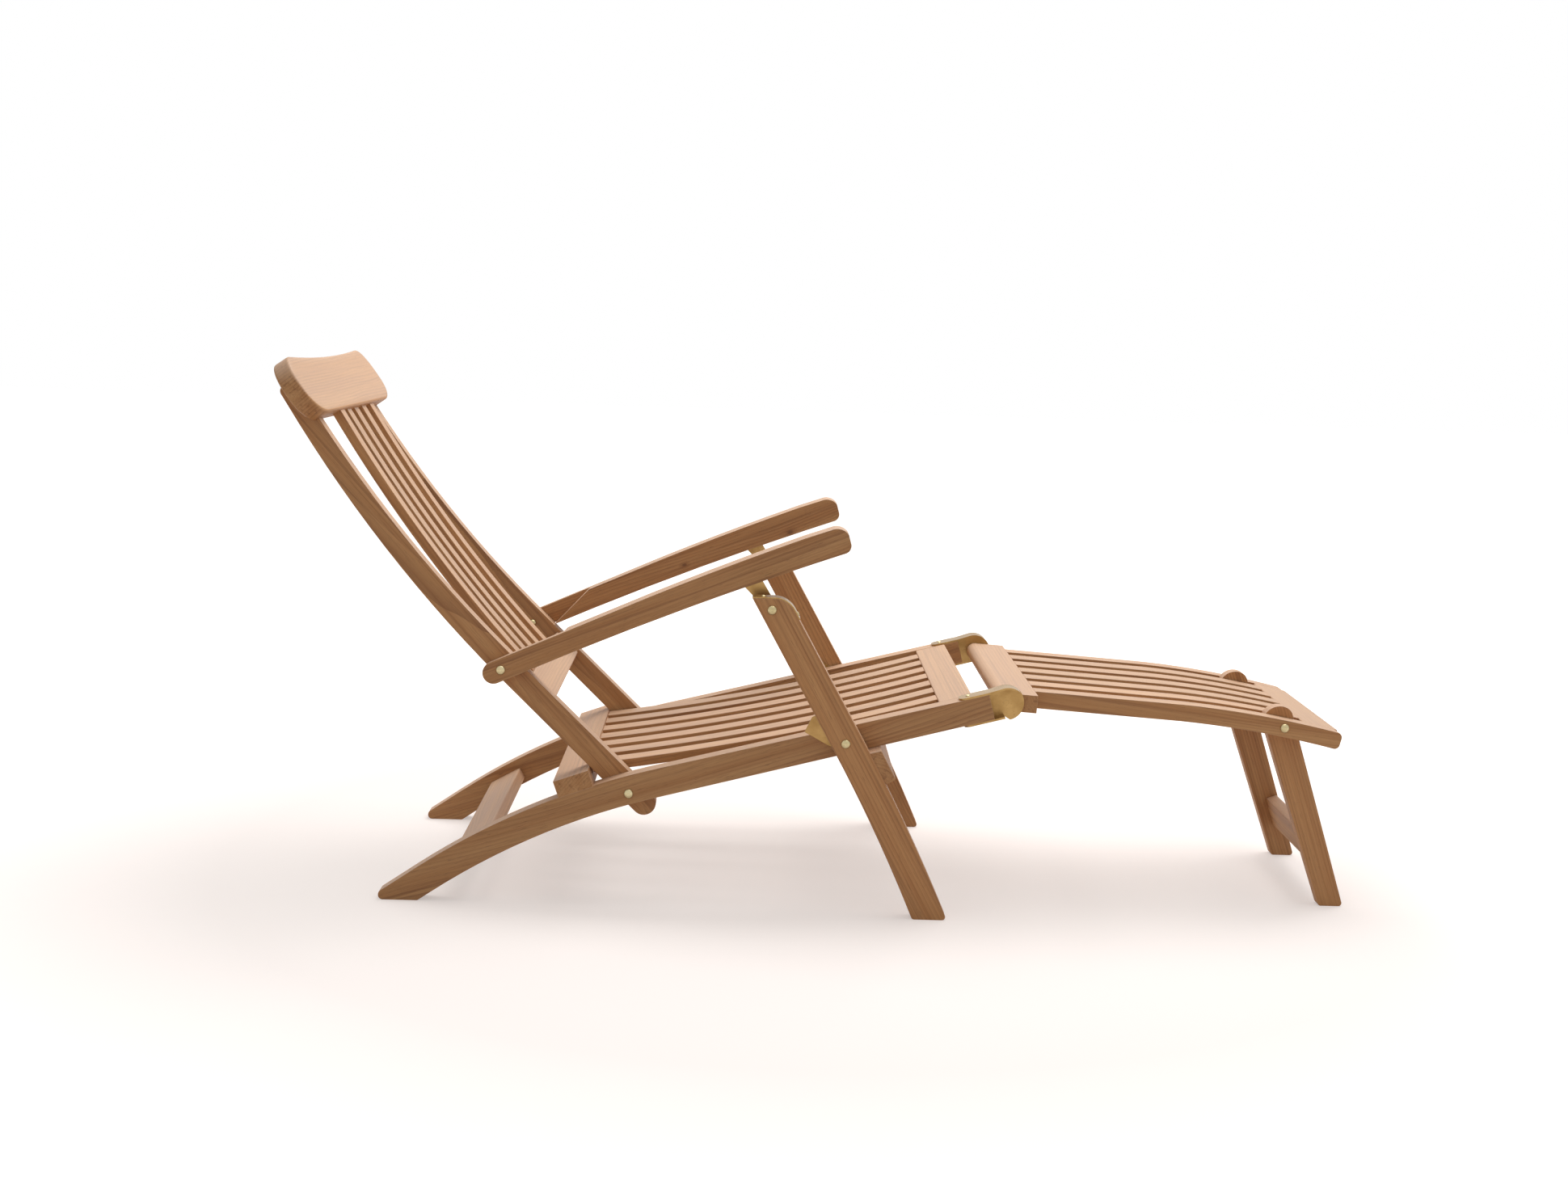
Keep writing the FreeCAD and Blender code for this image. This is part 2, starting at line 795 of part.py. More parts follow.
# Knee brackets: a round brass cheek beyond the rail's nose, level with the rail's inner face,
# with a strap over the rail's top that turns down over the cheek and a flange under the rail
def round_tip(body, x):
    """Rounds the two upright corners at the end of a strap."""
    doc.recompute()
    base = body.Tip
    names = []
    for i, edge in enumerate(base.Shape.Edges, start=1):
        a, b = edge.Vertexes[0].Point, edge.Vertexes[-1].Point
        if abs(a.y - b.y) < 1e-3 and abs(a.x - x.value) < 1e-3 and abs(b.x - x.value) < 1e-3:
            names.append("Edge%d" % i)
    if len(names) != 2:
        raise RuntimeError("the strap's tip has %d corner edges" % len(names))
    fillet = body.newObject("PartDesign::Fillet", "%s_tip_%d" % (body.Name, len(body.Group)))
    fillet.Base = (base, names)
    fillet.Radius = dim("knee_tip_radius").value
    fillet.setExpression("Radius", dim("knee_tip_radius").text)
    base.Visibility = False


rim_angle = as_size(35)
rim_c, rim_s = cosd(rim_angle), sind(rim_angle)


def knee_bracket(side, name):
    outline = [
        (strap_tip, rail_top(strap_tip)),
        (front_x, nose_top_z),
        (front_x, -half),
        (flange_tip, -half),
        (flange_tip, -half - ks),
        (kx - kr * 0.3, -half - ks),
        (kx, kz - kr),
        (kx + kr, kz, kr, -1),
        (kx, kz + kr, kr, -1),
        (front_x, nose_top_z + ks),
        (strap_tip, rail_top(strap_tip) + ks),
    ]
    body = board(name, rail, outline, top_y(side, rail_in, rail_out), dim("rail_thick"))
    inner = kr - ks
    recess = [
        (front_x, nose_top_z),
        (front_x, -half),
        (kx - kr * 0.3, -half),
        (kx - kr * 0.3, kz - kr - ks),
        (kx + kr + ks, kz - kr - ks),
        (kx + kr + ks, kz + (kr + ks) * rim_s),
        (kx + inner * rim_c, kz + inner * rim_s),
        (kx, kz + inner, inner, -1),
    ]
    web = dim("knee_plate_thick")
    if side > 0:
        cut(body, "recess", recess, 0, dim("rail_thick") - web)
    else:
        cut(body, "recess", recess, -web, dim("rail_thick") - web)
    hole_sketch = body.newObject("Sketcher::SketchObject", name + "_pin_hole")
    hole_sketch.AttachmentSupport = [(origin_plane(body, "XZ_Plane"), "")]
    hole_sketch.MapMode = "FlatFace"
    g = hole_sketch.addGeometry(
        Part.Circle(FreeCAD.Vector(kx.value, kz.value, 0), FreeCAD.Vector(0, 0, 1), hole.value), False
    )
    n = hole_sketch.addConstraint(Sketcher.Constraint("Radius", g, hole.value))
    hole_sketch.setExpression("Constraints[%d]" % n, hole.text)
    pin_coordinate(hole_sketch, "DistanceX", g, 3, kx)
    pin_coordinate(hole_sketch, "DistanceY", g, 3, kz)
    pocket = body.newObject("PartDesign::Pocket", name + "_pin_pocket")
    pocket.Profile = hole_sketch
    pocket.Type = 1
    pocket.Reversed = True
    for k, (x, z, tilt) in enumerate(knee_screw_places):
        drill(body, "screw_%d" % k, x, z, tilt, -dim("rail_thick") / 2, dim("screw_length"))
    round_tip(body, strap_tip)
    round_tip(body, flange_tip)
    return body


both("knee_bracket", knee_bracket)

# Stop plates: brass sheets between rail and leg, held by the leg pivot bolt
plate = dim("plate_thick")


def stop_plate(side, name):
    y_in = rail_out + 0.2
    return board(
        name,
        rail,
        [(-56, 25.5), (-27, -2), (-12, -12), (8, -12), (12, 6), (-20, 40), (-34, 46), (-40, 45)],
        top_y(side, y_in, y_in + plate),
        plate,
        [(0, 0, hole)],
    )


both("stop_plate", stop_plate)


# Backrest
def bow(run):
    """Place on the stile's centre line at a share of its bow angle, with the normal there."""
    angle = dim("back_bow_angle") * run
    return (
        -(dim("back_straight") + dim("back_bow_radius") * sind(angle)),
        dim("back_bow_radius") * (1 - cosd(angle)),
    )


bow_angle = dim("back_bow_angle")
stile_top = bow(1)
head_x, head_z = pivot("head", back, stile_top[0], stile_top[1])
head = Frame(head_x, head_z, dim("back_pitch") + bow_angle)
sd = dim("stile_depth") / 2
st = dim("stile_top_depth") / 2
R = dim("back_bow_radius")


def in_back(x, z):
    """A local point of the headrest's frame in the backrest's frame."""
    return back.into(*head.out(x, z))


hc = dim("head_curve_radius")
ht = dim("head_thick")
ha, hb = dim("head_above"), dim("head_below")
head_back_low = (hb, dim("head_set_low"))
head_back_high = (-ha, dim("head_set_high"))
head_front_low = (hb, dim("head_set_low") + ht)
head_front_high = (-ha, dim("head_set_high") + ht)
stile_end = -dim("stile_above")


def stile(side, name):
    body = board(
        name,
        back,
        [
            (dim("stile_tail"), sd),
            (dim("stile_tail") + sd, 0, sd, 1),
            (dim("stile_tail"), -sd, sd, 1),
            (-dim("back_straight"), -sd),
            (*in_back(0, -st), R + sd, 1),
            in_back(stile_end, -st),
            in_back(stile_end, st),
            in_back(0, st),
            (-dim("back_straight"), sd, R - sd, -1),
        ],
        top_y(side, stile_in, stile_out),
        dim("stile_thick"),
        [(0, 0, hole), (-dim("arm_pivot_run"), -dim("arm_pivot_back"), hole)],
    )
    cut(
        body,
        "head_housing",
        [
            in_back(head_back_low[0], head_back_low[1]),
            (*in_back(*head_back_high), hc + ht, 1),
            in_back(-ha, ht * 3),
            in_back(hb, ht * 3),
        ],
    )
    soften(body, [in_back(stile_end, -st)], dim("stile_top_round"), "top_round")
    return body


both("back_stile", stile)

def soften_ends(body, radius):
    """Rounds the four corners of a board as seen from its broad side."""
    doc.recompute()
    base = body.Tip
    names = []
    for i, edge in enumerate(base.Shape.Edges, start=1):
        a, b = edge.Vertexes[0].Point, edge.Vertexes[-1].Point
        if abs(a.y - b.y) < 1e-3 and (a - b).Length < ht.value * 1.2:
            names.append("Edge%d" % i)
    if len(names) != 4:
        raise RuntimeError("the headrest has %d corner edges" % len(names))
    fillet = body.newObject("PartDesign::Fillet", body.Name + "_corners")
    fillet.Base = (base, names)
    fillet.Radius = radius.value
    fillet.setExpression("Radius", radius.text)
    base.Visibility = False


headrest = board(
    "headrest",
    head,
    [
        head_back_low,
        (head_back_high[0], head_back_high[1], hc + ht, 1),
        head_front_high,
        (head_front_low[0], head_front_low[1], hc, -1),
    ],
    dim("head_width") / 2,
    dim("head_width"),
)

soften_ends(headrest, dim("head_corner"))

# The headrest's top edge dips a little towards the middle
doc.recompute()
dip_end = dim("head_width") / 2 - dim("head_corner") - 4
dip_sketch = headrest.newObject("Sketcher::SketchObject", "headrest_dip")
dip_sketch.AttachmentSupport = [(origin_plane(headrest, "XY_Plane"), "")]
dip_sketch.MapMode = "FlatFace"
dip_radius = derived("head_dip_radius", (dip_end * dip_end) / (2 * dim("head_dip")))
head_mid = -(dim("head_width") / 2)
draw(
    dip_sketch,
    [
        (-ha - 5, head_mid - dip_end),
        (-ha, head_mid - dip_end),
        (-ha, head_mid + dip_end, dip_radius, -1),
        (-ha - 5, head_mid + dip_end),
    ],
)
dip = headrest.newObject("PartDesign::Pocket", "headrest_dip_pocket")
dip.Profile = dip_sketch
dip.Type = 1
dip.Midplane = True

# Lower crossrail of the back
bc = dim("back_cross_run")
bw = dim("back_cross_width")
bct = dim("back_cross_thick")
bc_front = sd - 4
board(
    "back_lower_crossrail",
    back,
    [
        (-bc, bc_front),
        (-bc, bc_front - bct),
        (-bc - bw, bc_front - bct),
        (-bc - bw, bc_front),
    ],
    stile_in,
    2 * stile_in,
)

# Back slats, bowed like the stiles, the outer ones a little forward of the middle one
bt = dim("back_slat_thick")
slat_bow = dim("back_slat_radius")
for n in range(5):
    k = n - 2
    dish = dim("back_dish") * (k * k / 4.0)
    low_front_z = bc_front - dim("back_slat_sink") + dish
    top_front_z = dim("head_set_low") + ht - dim("head_slat_sink") + dish
    board(
        "back_slat_%d" % (n + 1),
        back,
        [
            (-bc - bw, low_front_z, slat_bow, -1),
            (-bc - bw, low_front_z - bt),
            (*in_back(hb, top_front_z - bt), slat_bow + bt, 1),
            in_back(hb, top_front_z),
        ],
        dim("back_slat_width") / 2 + dim("back_slat_pitch") * k,
        dim("back_slat_width"),
    )

# Arms
ad = dim("arm_depth") / 2
al = dim("arm_length")
arm_low_end = (al - 6, -ad - dim("arm_front_drop"))
arm_high_end = (al, -ad - dim("arm_front_drop") + dim("arm_front_depth"))
low_run = al - 6 - dim("arm_low_straight")
low_radius = derived("arm_low_radius", (low_run * low_run) / (2 * dim("arm_front_drop")))
high_fall = dim("arm_front_drop") + 2 * ad - dim("arm_front_depth")
high_run = al - dim("arm_straight")
high_radius = derived("arm_high_radius", (high_run * high_run) / (2 * high_fall))


def chair_arm(side, name):
    body = board(
        name,
        arm,
        [
            (-12, -ad, ad, -1),
            (dim("arm_low_straight"), -ad),
            (*arm_low_end, low_radius, 1),
            arm_high_end,
            (dim("arm_straight"), ad, high_radius, -1),
            (-12, ad),
            (-12 - ad, 0, ad, -1),
        ],
        top_y(side, arm_in, arm_out),
        dim("arm_width"),
        [(0, 0, hole)],
    )
    shoulder_low = sd + dim("arm_pivot_back") + dim("arm_shoulder_gap")
    shoulder = [
        (-14 - ad - 5, -ad - 6),
        (shoulder_low, -ad - 6),
        (shoulder_low, -ad),
        (dim("arm_fold_room"), ad),
        (dim("arm_fold_room"), ad + 6),
        (-14 - ad - 5, ad + 6),
    ]
    deep = dim("arm_width") - dim("arm_tongue")
    if side > 0:
        cut(body, "shoulder", shoulder, -dim("arm_tongue"), deep + 1)
    else:
        cut(body, "shoulder", shoulder, 1, deep + 1)
    rack_y = arm_width_y(side)
    cut(body, "rack_housing", rack_outline(1.0), rack_y[0], dim("rack_width"))
    soften(body, [arm_low_end, arm_high_end], 12, "nose")
    return body


def arm_underside(u):
    """Height of the arm's underside in its own frame at a distance from its pivot."""
    run = u - dim("arm_low_straight")
    return -ad - (run * run) / (2 * low_radius)


rack_rear = dim("rack_run")
rack_front = rack_rear + dim("rack_length")


def rack_outline(below):
    """The notch plate's outline, or its housing when it reaches below the arm."""
    a, b = arm_underside(rack_rear), arm_underside(rack_front)
    t = dim("rack_thick")
    return [(rack_rear, a - below), (rack_front, b - below), (rack_front, b + t), (rack_rear, a + t)]


def arm_width_y(side):
    """Start of the notch plate below the arm's sketch plane."""
    inset = 2
    if side > 0:
        return (as_size(-inset), arm_out - inset)
    return (-(dim("arm_width") - inset - dim("rack_width")), -(arm_out - inset - dim("rack_width")))


def arm_rack(side, name):
    return board(name, arm, rack_outline(0), arm_width_y(side)[1], dim("rack_width"))


both("arm", chair_arm)
both("arm_rack", arm_rack)

# Front legs, bowed a little below the leg pivot, with their feet flat on the floor
lw = dim("leg_width")
lr = dim("leg_rear_half")
lf = lw - lr
lbow = dim("leg_foot_bow")
floor_rear_v = -lr - lbow
floor_front_v = lf - lbow


def on_floor(frame, v, height):
    """Local point at a given v whose height over the floor is the one given."""
    u = (frame.z - height + v * cosd(frame.turn)) / sind(frame.turn)
    return u, v


foot_rear = on_floor(leg, floor_rear_v, 0)
foot_front = on_floor(leg, floor_front_v, 0)
rear_radius = derived("leg_rear_radius", (foot_rear[0] * foot_rear[0]) / (2 * lbow))
front_radius = derived("leg_front_radius", (foot_front[0] * foot_front[0]) / (2 * lbow))
tr = dim("leg_top_run")
leg_top_rear = (-tr, -lr)
lean_c, lean_s = cosd(dim("leg_angle")), sind(dim("leg_angle"))
top_radius = dim("leg_top_radius")
top_corner = -tr + lw * lean_c / lean_s
top_tangent = top_radius * tand(dim("leg_angle") / 2)
leg_top_mid = (top_corner - top_tangent * lean_c, lf - top_tangent * lean_s)
leg_top_front = (top_corner + top_tangent, lf)


def front_leg(side, name):
    body = board(
        name,
        leg,
        [
            leg_top_rear,
            (0, -lr),
            (*foot_rear, rear_radius, 1),
            foot_front,
            (0, lf, front_radius, -1),
            leg_top_front,
            (*leg_top_mid, top_radius, -1),
        ],
        top_y(side, leg_in, leg_out),
        dim("leg_thick"),
        [(0, 0, hole), (-dim("catch_run"), -dim("catch_back"), hole)],
    )
    inset = dim("leg_bar_inset")
    if side > 0:
        cut(body, "bar_housing", bar_outline, -inset, dim("leg_thick") - inset)
    else:
        cut(body, "bar_housing", bar_outline, 0, dim("leg_thick") - inset)
    soften(body, [foot_rear, foot_front], 5, "foot_round")
    for n, (u, v, tilt) in enumerate(strap_screw_places):
        drill(body, "strap_screw_%d" % n, u, v, tilt, -dim("leg_thick") / 2, dim("screw_length"))
    return body


# Bar across the fronts of the front legs: its top meets the rails' undersides when the legs stand open
bar_end = dim("leg_bar_top") + dim("leg_bar_width")


def leg_front(u):
    """Front edge of a front leg at a distance below its pivot."""
    u = as_size(u)
    return lf - (u * u) / (2 * front_radius)


def under_rail(v):
    """Where the rail's underside crosses the leg's frame at v, with a paper's thickness of room."""
    opening = dim("leg_angle") + slope
    return (half + 0.3 + v * cosd(opening)) / sind(opening)


bar_rear_v = leg_front(dim("leg_bar_top")) - dim("leg_bar_sink")
bar_front_v = bar_rear_v + dim("leg_bar_thick")
bar_low_v = leg_front(bar_end) - dim("leg_bar_sink")
bar_outline = [
    (under_rail(bar_rear_v), bar_rear_v),
    (bar_end, bar_low_v),
    (bar_end, bar_low_v + dim("leg_bar_thick")),
    (under_rail(bar_front_v), bar_front_v),
]

# Screws of the brass straps: one in the flat top of the leg, one in the strap's tail
tail_run = leg_top_front[0] + dim("strap_tail") * 0.5
flat_run = (leg_top_rear[0] + leg_top_mid[0]) / 2
flat_rise = (leg_top_rear[1] + leg_top_mid[1]) / 2
strap_screw_places = [(tail_run, lf, 0), (flat_run, flat_rise, -dim("leg_angle"))]
both("front_leg", front_leg)
board(
    "front_leg_stretcher",
    leg,
    bar_outline,
    leg_out - dim("leg_bar_inset"),
    2 * (leg_out - dim("leg_bar_inset")),
)

# Leg rest: knee bar, two rails, five slats and an end bar
rest_out = dim("rest_width") / 2
rest_in = derived("rest_in", rest_out - dim("rest_rail_thick"))
kt = dim("knee_bar_thick") / 2
knee_half = rail_in - 1
board(
    "legrest_knee_bar",
    rest,
    [
        (-dim("knee_bar_back") + kt, -kt, kt, -1),
        (dim("knee_bar_front"), -kt),
        (dim("knee_bar_front"), kt),
        (-dim("knee_bar_back") + kt, kt),
        (-dim("knee_bar_back"), 0, kt, -1),
    ],
    knee_half,
    2 * knee_half,
    [(0, 0, hole)],
)


def rest_arc(z, angle):
    """Point at height z over the rail's centre line, at an angle along its bowed end."""
    r = dim("rest_bow_radius") + z
    return dim("rest_straight") + r * sind(angle), z - r * (1 - cosd(angle))


rest_low = kt - dim("rest_rail_depth")
rest_end = dim("rest_bow_angle")
kbf = dim("knee_bar_front")
rbr = dim("rest_bow_radius")


def rest_strip(name, low, angle, y_top, thick, holes=()):
    """A strip of the leg rest with its top flush with the rails, from the knee bar to an angle of the bow."""
    return board(
        name,
        rest,
        [
            (kbf, low),
            (dim("rest_straight"), low),
            (*rest_arc(low, angle), rbr + low, 1),
            rest_arc(kt, angle),
            (dim("rest_straight"), kt, rbr + kt, -1),
            (kbf, kt),
        ],
        y_top,
        thick,
        holes,
    )


def rest_rail(side, name):
    body = rest_strip(
        name,
        rest_low,
        rest_end,
        top_y(side, rest_in, rest_out),
        dim("rest_rail_thick"),
        [(rest_leg_run, rest_leg_rise, hole)],
    )
    soften(body, [rest_arc(rest_low, rest_end), rest_arc(kt, rest_end)], 8, "nose")
    return body


both("legrest_rail", rest_rail)
rsw = derived("rest_slat_width", (2 * rest_in - 6 * dim("rest_slat_gap")) / 5)
rest_pitch = rsw + dim("rest_slat_gap")
for n in range(5):
    rest_strip(
        "legrest_slat_%d" % (n + 1),
        kt - dim("rest_slat_thick"),
        rest_end - dim("rest_end_angle"),
        rsw / 2 + rest_pitch * (n - 2),
        rsw,
    )
end_low = kt - dim("rest_end_thick")
board(
    "legrest_end_bar",
    rest,
    [
        rest_arc(end_low, rest_end - dim("rest_end_angle")),
        (*rest_arc(end_low, rest_end), rbr + end_low, 1),
        rest_arc(kt, rest_end),
        (*rest_arc(kt, rest_end - dim("rest_end_angle")), rbr + kt, -1),
    ],
    rest_in,
    2 * rest_in,
)

# Legs of the leg rest, round at the top and narrower at the foot
rq = dim("rest_leg_round")
rlh = dim("rest_leg_half")
rest_top = dim("rest_leg_reach") - rq
rl_rear = on_floor(rest_leg, -dim("rest_leg_foot_rear"), 0)
rl_front = on_floor(rest_leg, rlh, 0)


def rest_leg_board(side, name):
    inner = rest_in - dim("rest_leg_gap") - dim("rest_leg_thick")
    body = board(
        name,
        rest_leg,
        [
            (-rest_top, -rq, rq, 1),
            rl_rear,
            rl_front,
            (-rest_top, rq),
            (-rest_top - rq, 0, rq, 1),
        ],
        top_y(side, inner, rest_in - dim("rest_leg_gap")),
        dim("rest_leg_thick"),
        [(0, 0, hole)],
    )
    soften(body, [rl_rear, rl_front], 5, "foot_round")
    return body


both("legrest_leg", rest_leg_board)
rest_leg_in = rest_in - dim("rest_leg_gap") - dim("rest_leg_thick")
board(
    "legrest_leg_stretcher",
    rest_leg,
    [
        (dim("rest_bar_run"), rlh - dim("rest_bar_thick") - 0.5),
        (dim("rest_bar_run") + dim("rest_bar_width"), rlh - dim("rest_bar_thick") - 0.5),
        (dim("rest_bar_run") + dim("rest_bar_width"), rlh - 0.5),
        (dim("rest_bar_run"), rlh - 0.5),
    ],
    rest_leg_in,
    2 * rest_leg_in,
)

# Catches on the front legs, up to the notch plates under the arms
catch_out = arm_out - dim("catch_inset")
catch_u, catch_v = -dim("catch_run"), -dim("catch_back")
c_rear = dim("rack_run") + dim("catch_back_room")
c_front = dim("rack_run") + dim("rack_length") - dim("catch_front_room")
catch_rear = leg.into(*arm.out(c_rear, arm_underside(c_rear) - dim("catch_gap")))
catch_front = leg.into(*arm.out(c_front, arm_underside(c_front) - dim("catch_gap")))
cr_u, cr_v = derived("catch_rear_u", catch_rear[0]), derived("catch_rear_v", catch_rear[1])
cf_u, cf_v = derived("catch_front_u", catch_front[0]), derived("catch_front_v", catch_front[1])


def arm_catch(side, name):
    return board(
        name,
        leg,
        [
            (cr_u, cr_v),
            (catch_u - 22, catch_v - 17),
            (catch_u - 4, catch_v - 11),
            (catch_u + 11, catch_v, 11.5, -1),
            (catch_u, catch_v + 11, 11, -1),
            (catch_u - 14, catch_v + 6),
            (cf_u, cf_v),
        ],
        top_y(side, catch_out - dim("catch_thick"), catch_out),
        dim("catch_thick"),
        [(catch_u, catch_v, hole)],
    )


both("arm_catch", arm_catch)


# Brass straps over the tops of the front legs
def leg_strap(side, name):
    t = dim("plate_thick")
    mid = (leg_in + leg_out) / 2
    w = dim("strap_width")
    body = board(
        name,
        leg,
        [
            leg_top_rear,
            leg_top_mid,
            (*leg_top_front, top_radius, 1),
            (leg_top_front[0] + dim("strap_tail"), lf),
            (leg_top_front[0] + dim("strap_tail"), lf + t),
            (leg_top_front[0], lf + t),
            (leg_top_mid[0] - t * lean_s, leg_top_mid[1] + t * lean_c, top_radius + t, -1),
            (leg_top_rear[0] - t * lean_s, leg_top_rear[1] + t * lean_c),
        ],
        top_y(side, mid - w / 2, mid + w / 2),
        w,
    )
    for n, (u, v, tilt) in enumerate(strap_screw_places):
        drill(body, "screw_%d" % n, u, v, tilt, -w / 2, dim("screw_length"))
    return body


both("leg_top_strap", leg_strap)


# Bolts and pins
def bolt_pair(name, x, z, head_face, nut_face, nut=True):
    """Two bolts that mirror each other, as separate solids of one piece."""
    pair = []
    for side, end in ((-1, "_r"), (1, "_l")):
        pair.append(turned(name + end, x, z, bolt_profile(side, head_face, nut_face, nut)))
    return group(name, pair)


bolt_pair("back_pivot_bolts", back_x, back_z, rail_out, stile_in)
bolt_pair("leg_pivot_bolts", rail.x, rail.z, leg_out, rail_in)
bolt_pair("arm_pivot_bolts", arm_x, arm_z, arm_out, stile_in)
bolt_pair("rest_leg_pivot_bolts", foot_x, foot_z, rest_out, rest_leg_in, False)

catch_x, catch_z = pivot("catch", leg, catch_u, catch_v)


def catch_bolt(name, side):
    r = dim("bolt_radius")
    rh = dim("bolt_head_radius")
    s = side
    inner = catch_out - dim("catch_thick")
    return turned(
        name,
        catch_x,
        catch_z,
        [
            (0, s * (leg_out + 3.6)),
            (1.6, s * (leg_out + 3.6)),
            (2.2, s * (leg_out + 4.4)),
            (rh - 0.4, s * (leg_out + 1.6), 8.5, 1 if s > 0 else -1),
            (rh, s * (leg_out + 0.8)),
            (rh, s * leg_out),
            (r, s * leg_out),
            (r, s * leg_in),
            (rh - 0.5, s * leg_in),
            (rh - 0.5, s * catch_out),
            (r, s * catch_out),
            (r, s * inner),
            (rh - 0.5, s * inner),
            (rh - 0.5, s * (inner - 3)),
            (0, s * (inner - 3)),
        ],
    )


group("catch_bolts", [catch_bolt("catch_bolt_r", -1), catch_bolt("catch_bolt_l", 1)])


def knee_pin(name, side):
    r = dim("bolt_radius")
    s = side
    web_out = rail_in + dim("knee_plate_thick")
    return turned(
        name,
        knee_x,
        knee_z,
        [
            (0, s * (web_out + 2.4)),
            (5, s * (web_out + 2.4)),
            (6, s * (web_out + 1.4)),
            (6, s * web_out),
            (r, s * web_out),
            (r, s * (knee_half - 45)),
            (0, s * (knee_half - 45)),
        ],
    )


group("knee_pins", [knee_pin("knee_pin_r", -1), knee_pin("knee_pin_l", 1)])

# Screws that hold the straps and brackets
leg_mid = (leg_in + leg_out) / 2
rail_mid = (rail_in + rail_out) / 2
strap_screws = []
knee_screws = []
for side, end in ((-1, "r"), (1, "l")):
    for n, (u, v, tilt) in enumerate(strap_screw_places):
        name = "strap_screw_%s_%d" % (end, n)
        strap_screws.append(wood_screw(name, leg, u, v, tilt, side * leg_mid, dim("plate_thick")))
    for n, (x, z, tilt) in enumerate(knee_screw_places):
        name = "knee_screw_%s_%d" % (end, n)
        knee_screws.append(wood_screw(name, rail, x, z, tilt, side * rail_mid, ks))
group("strap_screws", strap_screws)
group("knee_bracket_screws", knee_screws)

doc.recompute()
for name, body in parts.items():
    if "Invalid" in body.State or "Error" in body.State or body.Shape.isNull() or not body.Shape.isValid():
        raise RuntimeError("%s failed: %s" % (name, body.State))
for obj in doc.Objects:
    if "Invalid" in obj.State or "Error" in obj.State:
        raise RuntimeError("%s failed: %s" % (obj.Name, obj.State))
for name, body in parts.items():
    body.Shape.exportStep("parts/%s.step" % name)
print(len(parts), "pieces written")
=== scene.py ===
# %% [markdown]
# # A folding steamer deck chair
# This lesson dresses a teak deck chair. The boards and brass fittings come in as finished solids,
# one object for each real piece, so the work here is what the hand and the eye notice: rounded
# edges, grain that runs along every board, dulled brass, and a calm studio round the chair.

import math

import bmesh
import bpy
import numpy as np
from mathutils import Matrix, Vector


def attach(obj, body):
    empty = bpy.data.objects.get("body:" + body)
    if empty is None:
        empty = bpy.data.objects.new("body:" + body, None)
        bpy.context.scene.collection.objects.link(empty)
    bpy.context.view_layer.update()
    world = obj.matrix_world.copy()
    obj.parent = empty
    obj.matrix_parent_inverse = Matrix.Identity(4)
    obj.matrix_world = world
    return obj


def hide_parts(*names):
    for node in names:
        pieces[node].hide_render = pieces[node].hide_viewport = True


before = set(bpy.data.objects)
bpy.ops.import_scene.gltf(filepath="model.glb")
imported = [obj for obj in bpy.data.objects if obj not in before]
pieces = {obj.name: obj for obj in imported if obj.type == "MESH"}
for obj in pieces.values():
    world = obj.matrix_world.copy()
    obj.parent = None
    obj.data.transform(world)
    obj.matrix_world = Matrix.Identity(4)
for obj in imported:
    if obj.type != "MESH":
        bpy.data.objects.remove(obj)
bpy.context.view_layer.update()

# %% [markdown]
# ## Sorting the pieces
# Every piece is either wood or brass. A name says which: fittings are the brackets, plates, straps,
# racks, catches, bolts, pins and screws. Sorting by name keeps one short rule instead of a long
# list.

# %% Wood and brass
BRASS_WORDS = ("bracket", "plate", "strap", "rack", "catch", "bolts", "pins", "screws")
brass_pieces = sorted(n for n in pieces if any(word in n for word in BRASS_WORDS))
wood_pieces = sorted(n for n in pieces if n not in brass_pieces)
print(len(wood_pieces), "boards and", len(brass_pieces), "fittings")

# %% [markdown]
# ## Adding an object
# A few forms are made here rather than brought in, and so are the lamp and the camera. A new mesh
# shows only when an object that holds it is linked to the scene, so one helper does both.

# %% Object helper
def add_object(name, data):
    """An object that shows a mesh, a lamp or a camera, linked to the scene."""
    made = bpy.data.objects.new(name, data)
    bpy.context.collection.objects.link(made)
    return made


print("object helper ready")

# %% [markdown]
# ## Softened edges
# No joiner leaves a sharp arris on a chair that bare arms and legs touch. Each edge is rubbed down
# to a radius of about two millimetres, and the light then draws a thin bright line along it.
# Modifiers do this without touching the mesh. The first joins the corners that faces share, and the
# second merges the triangles of each flat face, so that the Bevel finds one clean edge to round. It
# rounds only edges sharper than its angle limit, so the facets of a long curve stay smooth.
# Weighted normals keep the broad faces flat.

# %% Round the edges
BOARD_EDGE = 0.0024
ARM_EDGE = 0.0042
SLAT_EDGE = 0.0011
FITTING_EDGE = 0.0005
BOARD_STEPS = 3
FITTING_STEPS = 2
SAME_POINT = 0.00001
FLAT_ANGLE = math.radians(0.5)
SHARP_ANGLE = math.radians(32)
FLATNESS_WEIGHT = 80


